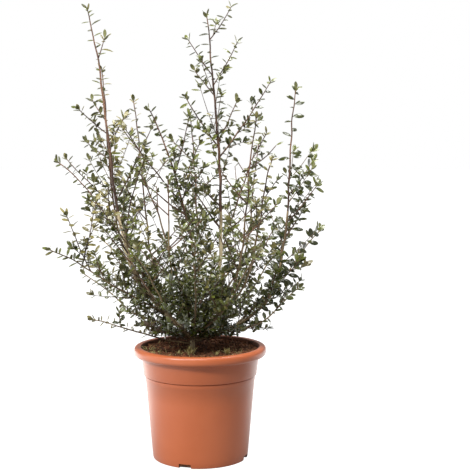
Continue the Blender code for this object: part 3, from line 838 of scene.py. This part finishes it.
# Leaders whose old bark is painted lit; the others get the same old bark in painted shade.
PALE_WOOD = ("left_leader", "left_twin", "centre_leader")
LEADER_WANDER = 2.2
LIMB_WANDER = 1.6


def root_flare(distance, heading):
    """Extra radius where the trunk spreads into the soil."""
    lobe = 1.0 - LOBE_DEPTH + LOBE_DEPTH * cos(radians(FLARE_LOBES * heading))
    return FLARE * lobe * exp(-distance / FLARE_HEIGHT)


old_wood = Pile()
add_limb(old_wood, trunk_line, *TRUNK_SHAPE, root_flare)
stems = {}
for name, (path, bare, total) in leaders.items():
    girth = LEADERS[name][4]
    stems[name] = wander(path, LEADER_WANDER)
    pale = name in PALE_WOOD
    add_limb(old_wood, stems[name], girth * (STEM_STOUT if pale else 1.0), STEM_TIP,
             STEM_SIDES[girth > THICK_STEM], STEM_RING, young_from=YOUNG_BARK,
             old_look=0 if pale else 2)
print("old wood:", len(old_wood.faces), "faces")

# %% [markdown]
# ## One leaf
#
# A japanese holly leaf is 13 to 19 mm long, oval, widest past its middle, a little domed,
# and its tip bends down. It is drawn once as a closed blade: rows of left edge, midrib,
# right edge and underside along its length. Every leaf is this one, turned and sized.

# %% Draw the leaf once
LEAF_WIDTH = 0.47
LEAF_ROWS = ((0.0, 0.05), (0.09, 0.08), (0.27, 0.35), (0.50, 0.50), (0.74, 0.45), (0.91, 0.26))
LEAF_RISE = 0.30
LEAF_DROOP = 0.60
LEAF_DOME = 0.22
LEAF_THICK = 0.045
LEAF_STRIPS = ((0, 1, 0), (1, 2, 0), (2, 3, 1), (3, 0, 1))


def leaf_arch(share):
    """Height of the midrib: it rises first, then bends down."""
    return LEAF_RISE * share - LEAF_DROOP * share ** 2


def draw_leaf():
    """Corners, faces and material numbers of a leaf one unit long and wide."""
    corners = []
    for share, half in LEAF_ROWS:
        arch, dome = leaf_arch(share), LEAF_DOME * half
        corners += [(-half, share, arch - dome), (0.0, share, arch),
                    (half, share, arch - dome), (0.0, share, arch - LEAF_THICK)]
    corners.append((0.0, 1.0, leaf_arch(1.0)))
    faces, looks = [[0, 1, 2, 3]], [1]
    for row in range(len(LEAF_ROWS) - 1):
        a, b = 4 * row, 4 * row + 4
        for left, right, look in LEAF_STRIPS:
            faces.append([a + left, a + right, b + right, b + left])
            looks.append(look)
    a, tip = 4 * (len(LEAF_ROWS) - 1), len(corners) - 1
    for left, right, look in LEAF_STRIPS:
        faces.append([a + left, a + right, tip])
        looks.append(look)
    return np.array(corners), faces, looks


leaf_corners, leaf_faces, leaf_looks = draw_leaf()
print("a leaf has", len(leaf_faces), "faces")

# %% [markdown]
# ## The rule of growth
#
# From its tip down, a shoot bears a leaf every few millimetres, each turned 137.5 degrees
# from the last. Further down, a twig takes the place of a leaf now and then, and grows by
# the same rule. Low in the crown the twigs are closer and branch again. A leaf that would
# touch the pot or the soil, or leave the reach of the solids, is left out.
#
# A tone has a share of the sprays, which depends on where a spray is: a row holds the
# share, its base, its gain at middle height and its gain towards the top. The extra dark
# leaves at middle height paint the shade that the crown casts on itself, and the lighter
# ones towards the top paint light. On the right the sprays face the viewer, and are darker.
# SKY lists the main openings as the eye sees them, and SHOWN the stretches of stem that
# stay in view.

# %% Leaves of four tones, and dry ones
TONES = {"dark": (0.45, 0.7, 1.6, 0.0), "mid": (0.32, 1.0, 0.0, 0.0),
         "olive": (0.18, 1.3, -1.2, 0.0), "young": (0.05, 0.8, 0.0, 0.6)}
YOUNGER = {"dark": "mid", "mid": "olive", "olive": "young", "young": "young", "dry": "dark"}
LIGHT_FROM = 280.0
LIGHT_OVER = 300.0
LEAF_SPREAD = (50.0, 84.0)
TIP_SPREAD = (12.0, 42.0)
LEAF_TILT = (-0.35, 0.35)
LEAF_LEAN = 0.3
LEAF_WIDTHS = (0.9, 1.1)
LEAF_DOMES = (0.4, 1.3)
POSTURE_X = (-0.7, 0.7)
POSTURE_Y = (-0.9, 0.5)
REACH_SLACK = 5.0
OVER_SOIL = 20.0
FRONT_CLEAR = 0.2
OVER_RIM = 1.5
MOUTH_CLEAR = 4.0
RIM_CLEAR = 3.0
FACE_UP = 0.6
LEAF_LIFT = 0.65
FACING_SIDE = 110.0
FACING = 1.6
FACING_SHARES = (1.6, 1.0, 0.4, 0.3)
EYE = (58.0, -1700.0, 505.0)
SKY = ((10, 590, 16), (75, 505, 16), (60, 480, 15), (-70, 470, 17), (-60, 400, 18),
       (-60, 432, 13), (-98, 405, 9), (-50, 380, 12), (165, 525, 12), (170, 497, 11),
       (155, 360, 10), (78, 408, 12), (72, 385, 10), (117, 520, 10), (-138, 588, 11),
       (-76, 527, 11), (-112, 510, 9), (-90, 447, 10), (20, 387, 9), (182, 400, 14),
       (-42, 360, 9), (68, 350, 10), (8, 427, 9), (142, 349, 9), (48, 296, 9), (-182, 310, 10))
SHOW_STEP = 4.0
SHOW_WIDTH = 6.0
SHOW_SHARE = 0.88
SHOWN = {"left_leader": (0.02, 0.95), "left_twin": (0.1, 0.9), "centre_leader": (0.25, 0.95),
         "right_leader": (0.53, 0.95), "right_inner": (0.3, 0.5),
         "front_low": (0.1, 0.4), "front_low_right": (0.1, 0.4)}
leaves = {tone: Pile() for tone in YOUNGER}
reach_low = [c / MM - REACH_SLACK for c in cad_box[0]]
reach_high = [c / MM + REACH_SLACK for c in cad_box[1]]


def is_free(point):
    """Whether a point is clear of the pot and within the reach of the solids."""
    flat = hypot(point.x, point.y)
    low = POT_HEIGHT + OVER_RIM
    if flat < MOUTH_RADIUS - MOUTH_CLEAR:
        low = SOIL_EDGE + OVER_SOIL + FRONT_CLEAR * max(0.0, -point.y)
    if flat < RIM_RADIUS + RIM_CLEAR and point.z < low:
        return False
    return all(low < c < high for low, c, high in zip(reach_low, point, reach_high))


def seen_at(point):
    """Where the photograph shows a point, on the plane through the pot's axis."""
    share = EYE[1] / (EYE[1] - point.y)
    return EYE[0] + (point.x - EYE[0]) * share, EYE[2] + (point.z - EYE[2]) * share


shown_places = []
for name, (first, last) in SHOWN.items():
    length = path_length(stems[name])
    for point in cut(stems[name], first * length, last * length, 2.0 * SHOW_STEP):
        shown_places.append((*seen_at(point), point.y))


def hides_stem(point):
    """Whether a leaf here would hide a main stem."""
    x, z = seen_at(point)
    return any(abs(z - stem_z) < SHOW_STEP and abs(x - stem_x) < SHOW_WIDTH and point.y < stem_y
               for stem_x, stem_z, stem_y in shown_places)


def fills_sky(point):
    """Whether a point stands in an opening."""
    x, z = seen_at(point)
    return any((x - sky_x)**2 + (z - sky_z)**2 < radius**2 for sky_x, sky_z, radius in SKY)


def add_leaf(root, along, heading, spread, size, spray, rng):
    """Add one leaf, unless it would not be free."""
    tone, posture = spray
    out = outward(along, heading)
    lean = radians(spread)
    aim = along * cos(lean) + out * sin(lean)
    aim.z += LEAF_LIFT * (1.0 - along.z)
    aim.normalize()
    tilt = posture + Vector([rng.uniform(*LEAF_TILT) for _ in range(3)])
    side = aim.cross(along - out * LEAF_LEAN + UP * FACE_UP + tilt).normalized()
    up = side.cross(aim)
    middle = root + aim * size * 0.5
    if not is_free(root + aim * size) or not is_free(middle):
        return
    if (hides_stem(middle) or fills_sky(middle)) and rng.random() < SHOW_SHARE:
        return
    axes = np.array((side * size * LEAF_WIDTH * rng.uniform(*LEAF_WIDTHS), aim * size,
                     up * size * rng.uniform(*LEAF_DOMES)))
    leaves[tone].add(leaf_corners @ axes + np.array(root), leaf_faces, leaf_looks)


def pick_spray(rng, place):
    """Tone and posture of a spray, with painted shade at middle height and painted light near the
    top.
    """
    # More dark tones at middle height paint shade, and lighter tones near the top paint light.
    light = min(1.0, max(0.0, (place.z - LIGHT_FROM) / LIGHT_OVER))
    shade = min(light, 1.0 - light)
    weights = [share * (base + shaded * shade + lit * light)
               for share, base, shaded, lit in TONES.values()]
    posture = Vector([rng.uniform(*POSTURE_X), rng.uniform(*POSTURE_Y), 0.0])
    if place.x > FACING_SIDE:
        posture.y -= FACING
        weights = [factor * weight for factor, weight in zip(FACING_SHARES, weights)]
    return rng.choices(list(TONES), weights)[0], posture


# %% Shoots that bear leaves and twigs
TURN = 137.5
TURN_SLACK = (-20.0, 20.0)
LEAF_EVERY = 5.4
LEAF_GAPS = (0.75, 1.25)
LEAF_SIZES = (0.78, 1.15)
LEAF_FINE = 0.84
TWIG_START = (130.0, 60.0, 28.0)
LATE_TWIGS = {"left_leader": 195.0, "left_twin": 150.0}
TWIG_GAP = (21.0, 20.0, 16.0)
TWIG_STARTS = (0.8, 1.2)
TWIG_GAPS = (0.7, 1.3)
TWIG_LENGTH = 88.0
TWIG_LEAST = 8.0
TWIG_SHARE = 0.4
TWIG_EXTRA = 10.0
TWIG_SIZES = (0.5, 1.1)
SIDE_TWIG = 0.6
TWIG_STEEP = 0.8
TWIG_OUT = (0.45, 0.8)
TWIG_LIFT = 0.12
TWIG_SAG = 0.05
TWIG_WANDER = 1.0
TWIG_WAVE = 0.08
TWIG_SHAPE = (0.75, 0.4, 5, 7.0)
SHOOT_END = 3.0
LEAFY_LENGTH = 220.0
OLD_LEAVES = 0.6
YOUNG_TIP = 6.0
TIP_POSTURE = 0.3
TIP_GAP = 0.35
LOW_CROWN = 330.0
LOW_DEPTH = 80.0
LOW_CROWDING = 1.5
LOW_BRANCHING = 1.2
LOW_LEAF = 0.78
MIXED_FROM = 265.0
MIXED_SHARE = 0.4
PALE_TIP = 12.0
PALE_SHARE = 0.75
PALE_LOSS = 0.8
young_twigs = Pile()


def lowness(height):
    """0 above the low part of the crown, 1 at its foot."""
    return min(1.0, max(0.0, (LOW_CROWN - height) / LOW_DEPTH))


def add_twig(root, middle, tip, count, amount):
    """Add the wood of a twig, and return its path."""
    path = wander(bow(root, middle, tip, count), amount, TWIG_WAVE)
    add_limb(young_twigs, path, *TWIG_SHAPE)
    return path


def grow_twig(root, along, heading, size, order, spray, rng, scale=1.0, steep=TWIG_STEEP):
    """Grow a twig of a length from a place on a shoot."""
    out = outward(along, heading)
    aim = (along * steep + out * rng.uniform(*TWIG_OUT)).normalized()
    tip = root + aim * size + UP * (TWIG_LIFT * size)
    if not is_free(tip) or fills_sky(tip) or size < TWIG_LEAST:
        return
    middle = root.lerp(tip, 0.5) - UP * (size * TWIG_SAG)
    path = add_twig(root, middle, tip, 5, TWIG_WANDER)
    if root.z > MIXED_FROM and rng.random() < MIXED_SHARE:
        spray = pick_spray(rng, root)
    grow_shoot(path, order, 0.0, spray, rng, scale)


def halfway(scale):
    """Scale half way between a shoot's own and life size."""
    return 0.5 * (1.0 + scale)


def grow_shoot(path, order, bare, spray, rng, scale=1.0, crowded=1.0, late=None):
    """Leaves and twigs down a shoot, from its tip to its bare foot."""
    total = path_length(path)
    heading = rng.uniform(0.0, 360.0)
    left, twig_at = 0.0, (late or TWIG_START[min(order, 2)]) * rng.uniform(*TWIG_STARTS)
    while left < total - bare - SHOOT_END:
        root, along = walk(path, total - left)
        low = lowness(root.z)
        crowd = (1.0 + (LOW_CROWDING - 1.0) * low) * crowded
        close = scale * (1.0 - (1.0 - LOW_LEAF) * low)
        heading += TURN + rng.uniform(*TURN_SLACK)
        if left > twig_at and (order < 2 or crowd > LOW_BRANCHING and order < 3):
            size = min(TWIG_LENGTH, TWIG_SHARE * left + TWIG_EXTRA) * rng.uniform(*TWIG_SIZES)
            size *= SIDE_TWIG if order else 1.0
            grow_twig(root, along, heading, size, order + 1, spray, rng, halfway(scale))
            twig_at = left + TWIG_GAP[order] * rng.uniform(*TWIG_GAPS) / crowd
        elif left < LEAFY_LENGTH or rng.random() < OLD_LEAVES * crowd:
            young = left < YOUNG_TIP
            size = LEAF_LENGTH * LEAF_FINE * rng.uniform(*LEAF_SIZES)
            size *= halfway(close) if young else close
            spread = TIP_SPREAD if young else LEAF_SPREAD
            tone, posture = spray
            if young:
                posture = posture * TIP_POSTURE
            if left < PALE_TIP and rng.random() < PALE_SHARE * (1.0 - PALE_LOSS * low):
                tone = YOUNGER[tone]
            add_leaf(root, along, heading, rng.uniform(*spread), size, (tone, posture), rng)
        gap = TIP_GAP if left < YOUNG_TIP else close / sqrt(crowded)
        left += LEAF_EVERY * rng.uniform(*LEAF_GAPS) * gap


# %% [markdown]
# The fork and the lower boughs are hidden in the photograph: short twigs with mostly dark
# leaves crowd round them, and the dark leaves paint the shade under the crown. They are
# grown from the bare wood. Two tables give the shoots that bear larger leaves, and those
# with more or fewer leaves than the rule gives.

# %% Grow the whole crown
LIMB_GIRTH = 0.85
LIMB_THIN = 1.05
LIMB_SHAPE = (0.65, 6, 4.0)
LIMB_BARE = 4.0
BARE_FOOT = 8.0
LOW_EVERY = 9.0
LOW_GAPS = (0.7, 1.3)
LOW_SPRAY = (22.0, 48.0)
LOW_DARK = 0.55
LOW_POSTURE = (-0.6, 0.2)
FORK_FROM = 33.0
FORK_STRETCH = 3.0
FORK_STEEP = 0.3
BROAD_LEAVED = {"right_leader": 1.45, "right_reach": 1.5, "right_low": 1.3, "left_leader": 1.32,
                "left_twin": 1.05, "left_low": 1.15, "left_rim": 1.15, "centre_leader": 1.12}
CROWDED = {"right_leader": 0.95, "right_low": 1.1, "left_leader": 1.15, "back_centre": 1.3,
           "left_sweep": 1.5, "left_rim": 1.3, "left_low": 1.2, "front_right": 0.5,
           "back_right": 0.7, "centre_right": 0.6, "right_inner": 0.8, "left_inner": 0.6,
           "mid_left": 1.5, "back_left": 0.7, "front_left": 0.6, "cross_right": 0.6}
SKIRT_TWIGS = 34
SKIRT_FOOT = 14.0
SKIRT_TOP = 36.0
SKIRT_REACH = (55.0, 100.0)
SKIRT_LEVEL = 206.0
SKIRT_UNEVEN = (-5.0, 7.0)
SKIRT_RISE = 0.32
SKIRT_BOW = 0.6
SKIRT_ARCH = 3.0
SKIRT_WANDER = 1.5
SKIRT_BARE = 12.0
SKIRT_CROWD = 1.4
SKIRT_POSTURE = Vector((0.0, -0.3, 0.0))
DRY_SHARE = 0.2
side_shoots = Pile()


def crowd_wood(path, start, stop, rng, stretch=1.0, steep=TWIG_STEEP):
    """Short twigs along a bare stretch near the fork, whose mostly dark leaves paint shade."""
    distance = start
    while distance < stop:
        root, along = walk(path, distance)
        # Dark leaves near the fork paint the shade under the crown.
        tone = "dark" if rng.random() < LOW_DARK else "mid"
        spray = (tone, Vector((0.0, rng.uniform(*LOW_POSTURE), 0.0)))
        size = rng.uniform(*LOW_SPRAY) * stretch
        grow_twig(root, along, rng.uniform(0.0, 360.0), size, 2, spray, rng, 1.0, steep)
        distance += LOW_EVERY * rng.uniform(*LOW_GAPS) / stretch


def grow_skirt(count, rng):
    """Low twigs all round the trunk, with dry leaves and dark ones that paint the shade under the
    crown.
    """
    for k in range(count):
        root, along = walk(trunk_line, SKIRT_FOOT + (SKIRT_TOP - SKIRT_FOOT) * k / count)
        flat = Vector((1.0, 0.0, 0.0))
        flat.rotate(Euler((0.0, 0.0, radians(TURN * k))))
        tip = root + flat * rng.uniform(*SKIRT_REACH)
        tip.z = SKIRT_LEVEL - min(0.0, tip.y) * SKIRT_RISE
        tip.z += rng.uniform(*SKIRT_UNEVEN)
        if is_free(tip):
            middle = root.lerp(tip, SKIRT_BOW) + UP * SKIRT_ARCH
            path = add_twig(root, middle, tip, 6, SKIRT_WANDER)
            # Dry leaves are real dead ones; the dark ones paint the shade under the crown.
            tone = "dry" if rng.random() < DRY_SHARE else "dark"
            grow_shoot(path, 1, SKIRT_BARE, (tone, SKIRT_POSTURE), rng, 1.0, SKIRT_CROWD)


rng = random.Random(f"{SEED} trunk")
grow_skirt(SKIRT_TWIGS, rng)
crowd_wood(trunk_line, FORK_FROM, path_length(trunk_line), rng, FORK_STRETCH, FORK_STEEP)
for name, (_, bare, total) in leaders.items():
    rng = random.Random(f"{SEED} {name}")
    stem = stems[name]
    girth = LEADERS[name][4]
    style = (BROAD_LEAVED.get(name, 1.0), CROWDED.get(name, 1.0))
    grow_shoot(stem, 0, bare, pick_spray(rng, stem[-1]), rng, *style, LATE_TWIGS.get(name))
    if walk(stem, bare)[0].z < LOW_CROWN:
        crowd_wood(stem, BARE_FOOT, bare, rng)
    for where, limb in limbs[name]:
        foot, _ = walk(stem, where)
        shift = foot - limb[0]
        line = wander([point + shift for point in limb], LIMB_WANDER)
        local = girth + (STEM_TIP - girth) * where / total
        radius = max(LIMB_THIN, local * LIMB_GIRTH)
        add_limb(side_shoots, line, radius, *LIMB_SHAPE)
        grow_shoot(line, 1, LIMB_BARE, pick_spray(rng, line[-1]), rng, *style)
for tone, pile in leaves.items():
    print(tone, "leaves:", pile.count // len(leaf_corners))

# %% [markdown]
# ## Leaf and bark materials
#
# The upper side of a leaf is glossy and dark, the underside pale and dull, and young
# leaves at the tips are yellower. Each tone is a plain material with a faint mottle,
# because a pattern painted over the whole crown would not follow the sprays.

# %% Make the joined pieces of the plant
underside = make_material("leaf underside", (130, 130, 86), (108, 110, 70), 60.0, 0.8, 400.0, 0.6)
LEAF_WAX = 0.4
WAX_ROUGH = 0.22
WOOD_SHARP = 60.0
LEAF_LOOKS = {
    "dark": ((42, 48, 8), (58, 62, 14), 0.27),
    "mid": ((78, 84, 32), (92, 96, 42), 0.30),
    "olive": ((100, 94, 50), (90, 86, 44), 0.34),
    "young": ((128, 119, 70), (111, 104, 58), 0.40),
    "dry": ((60, 44, 28), (46, 34, 22), 0.60),
}
for tone, (colour, second, gloss) in LEAF_LOOKS.items():
    look = make_material(f"{tone} leaf", colour, second, 70.0, 0.9, 500.0, gloss, bump=0.03)
    if tone != "dry":
        set_inputs(look.node_tree.nodes["Principled BSDF"],
                   {"Coat Weight": LEAF_WAX, "Coat Roughness": WAX_ROUGH})
    leaves[tone].make(f"leaves_{tone}", [look, underside], "foliage", masses, WOOD_SHARP)

# The pale and the dim bark are one old bark, in painted light and in painted shade.
WOOD_LOOKS = {
    "pale bark in painted light": ((204, 188, 150), (124, 105, 78), 14.0, 0.72, 0.12),
    "young bark": ((116, 84, 64), (58, 39, 30), 20.0, 0.66, 0.1),
    "dim bark in painted shade": ((150, 130, 98), (92, 74, 54), 14.0, 0.72, 0.12),
    "side shoot bark": ((100, 72, 52), (60, 42, 32), 30.0, 0.62, 0.1),
    "young twig": ((100, 80, 54), (68, 52, 36), 50.0, 0.6, 0.06),
}
barks = [make_material(name, colour, second, size, 1.0, 600.0, roughness, bump=relief)
         for name, (colour, second, size, roughness, relief) in WOOD_LOOKS.items()]
old_wood.make("old_wood", barks[:3], "bark", ["trunk"] + boughs, WOOD_SHARP)
side_shoots.make("side_shoots", barks[3:4], "bark", masses, WOOD_SHARP)
young_twigs.make("young_twigs", barks[4:], "bark", masses, WOOD_SHARP)

# %% [markdown]
# ## Floor, light and camera
#
# The plant stands on a white floor in soft light from the upper left. For the camera the
# floor glows and the world is full white, so that they meet without a line. Other rays see
# a dim world that only fills the shadows. Gloss mirrors the world at a level of its own,
# and sees the floor glow brightest on the left and behind: a painted reflection, which
# lays a sheen on the pot and the leaves.

# %% Floor
FLOOR_SIZE = 30.0
FLOOR_GREY = 0.22
FLOOR_ROUGH = 0.9
FLOOR_GLOW = 0.95
# The floor glows for glossy rays, brightest on the left and behind: painted reflections that lay a
# sheen on the pot and the leaves.
FLOOR_MIRROR = 0.38
LEFT_MIRROR = (0.0, -0.4, 1.5)
BACK_MIRROR = (0.0, 0.4, 1.6)


def link_level(tree, seen, mirrored, otherwise, socket):
    """Give a socket a level for camera rays, one for glossy and one for others."""
    ray, = add_nodes(tree, "LightPath")
    value = otherwise
    for kind, level in (("Is Glossy Ray", mirrored), ("Is Camera Ray", seen)):
        step, = add_nodes(tree, "MapRange")
        tree.links.new(ray.outputs[kind], step.inputs["Value"])
        for end, given in (("To Max", level), ("To Min", value)):
            if isinstance(given, float):
                set_inputs(step, {end: given})
            else:
                tree.links.new(given, step.inputs[end])
        value = step.outputs["Result"]
    tree.links.new(value, socket)


def mirrored_floor(tree):
    """How bright the floor glows for gloss: a painted reflection, brightest on the left and
    behind.
    """
    place, parts = add_nodes(tree, "TexCoord", "SeparateXYZ")
    tree.links.new(place.outputs["Object"], parts.inputs["Vector"])
    level = None
    for axis, (start, stop, gain) in (("X", LEFT_MIRROR), ("Y", BACK_MIRROR)):
        ramp, add = add_nodes(tree, "MapRange", "Math")
        set_inputs(ramp, {"From Min": start, "From Max": stop, "To Max": gain})
        add.inputs[1].default_value = FLOOR_MIRROR
        tree.links.new(parts.outputs[axis], ramp.inputs["Value"])
        tree.links.new(ramp.outputs["Result"], add.inputs[0])
        if level:
            tree.links.new(level, add.inputs[1])
        level = add.outputs["Value"]
    return level


floor_mesh = bpy.data.meshes.new("studio_floor")
floor_corners = [(-1, -1), (1, -1), (1, 1), (-1, 1)]
floor_mesh.from_pydata([(x * FLOOR_SIZE, y * FLOOR_SIZE, 0.0) for x, y in floor_corners], [],
                       [(0, 1, 2, 3)])
studio_floor = add_object("studio_floor", floor_mesh)
floor_look = bpy.data.materials.new("white floor")
floor_look.use_nodes = True
floor_shader = floor_look.node_tree.nodes["Principled BSDF"]
set_inputs(floor_shader, {"Base Color": (*[FLOOR_GREY] * 3, 1.0), "Roughness": FLOOR_ROUGH,
                          "Emission Color": (1.0, 1.0, 1.0, 1.0)})
link_level(floor_look.node_tree, FLOOR_GLOW, mirrored_floor(floor_look.node_tree), 0.0,
           floor_shader.inputs["Emission Strength"])
floor_mesh.materials.append(floor_look)

# %% Light
WORLD_LIGHT = 0.29
WORLD_MIRROR = 0.55
SUN_STRENGTH = 2.2
SUN_WIDTH = 10.0
SOFTBOXES = {"front softbox": (32.0, 1.0, (-0.25, -1.15, 1.85)),
             "side softbox": (8.0, 1.3, (-1.7, -0.1, 0.42)),
             "top softbox": (34.0, 0.8, (0.4, 0.1, 1.8))}
PLANT_MIDDLE = Vector((0.0, 0.0, 0.35))
SUN_TURN = (55.0, 0.0, -46.0)

world = bpy.data.worlds.new("studio")
bpy.context.scene.world = world
world.use_nodes = True
sky = world.node_tree.nodes["Background"]
set_inputs(sky, {"Color": (1.0, 1.0, 1.0, 1.0)})
link_level(world.node_tree, 1.0, WORLD_MIRROR, WORLD_LIGHT, sky.inputs["Strength"])

sun_data = bpy.data.lights.new("sun", "SUN")
sun_data.energy = SUN_STRENGTH
sun_data.angle = radians(SUN_WIDTH)
sun = add_object("sun", sun_data)
sun.rotation_euler = [radians(a) for a in SUN_TURN]


def add_softbox(name, watts, size, place):
    """Add a square softbox that faces the plant."""
    data = bpy.data.lights.new(name, "AREA")
    data.energy = watts
    data.size = size
    softbox = add_object(name, data)
    softbox.location = place
    softbox.rotation_euler = (Vector(place) - PLANT_MIDDLE).to_track_quat("Z", "Y").to_euler()


for name, settings in SOFTBOXES.items():
    add_softbox(name, *settings)

# %% Camera at the photograph's angle
CAMERA_DOWN = 4.50
CAMERA_LENS = 79.0
CAMERA_FILM = 36.0

camera_data = bpy.data.cameras.new("camera")
camera_data.lens = CAMERA_LENS
camera_data.sensor_width = CAMERA_FILM
camera = add_object("camera", camera_data)
camera.location = Vector(EYE) * MM
camera.rotation_euler = (radians(90.0 - CAMERA_DOWN), 0.0, 0.0)
bpy.context.scene.camera = camera
bpy.context.scene.view_settings.view_transform = "Standard"

# %% [markdown]
# ## The size of the solids
#
# The size of the box of the solids is printed. The finer model may not leave the box of
# the solids.

# %% Print the size of the solids
print("solids", [round(b - a, 4) for a, b in zip(*cad_box)])
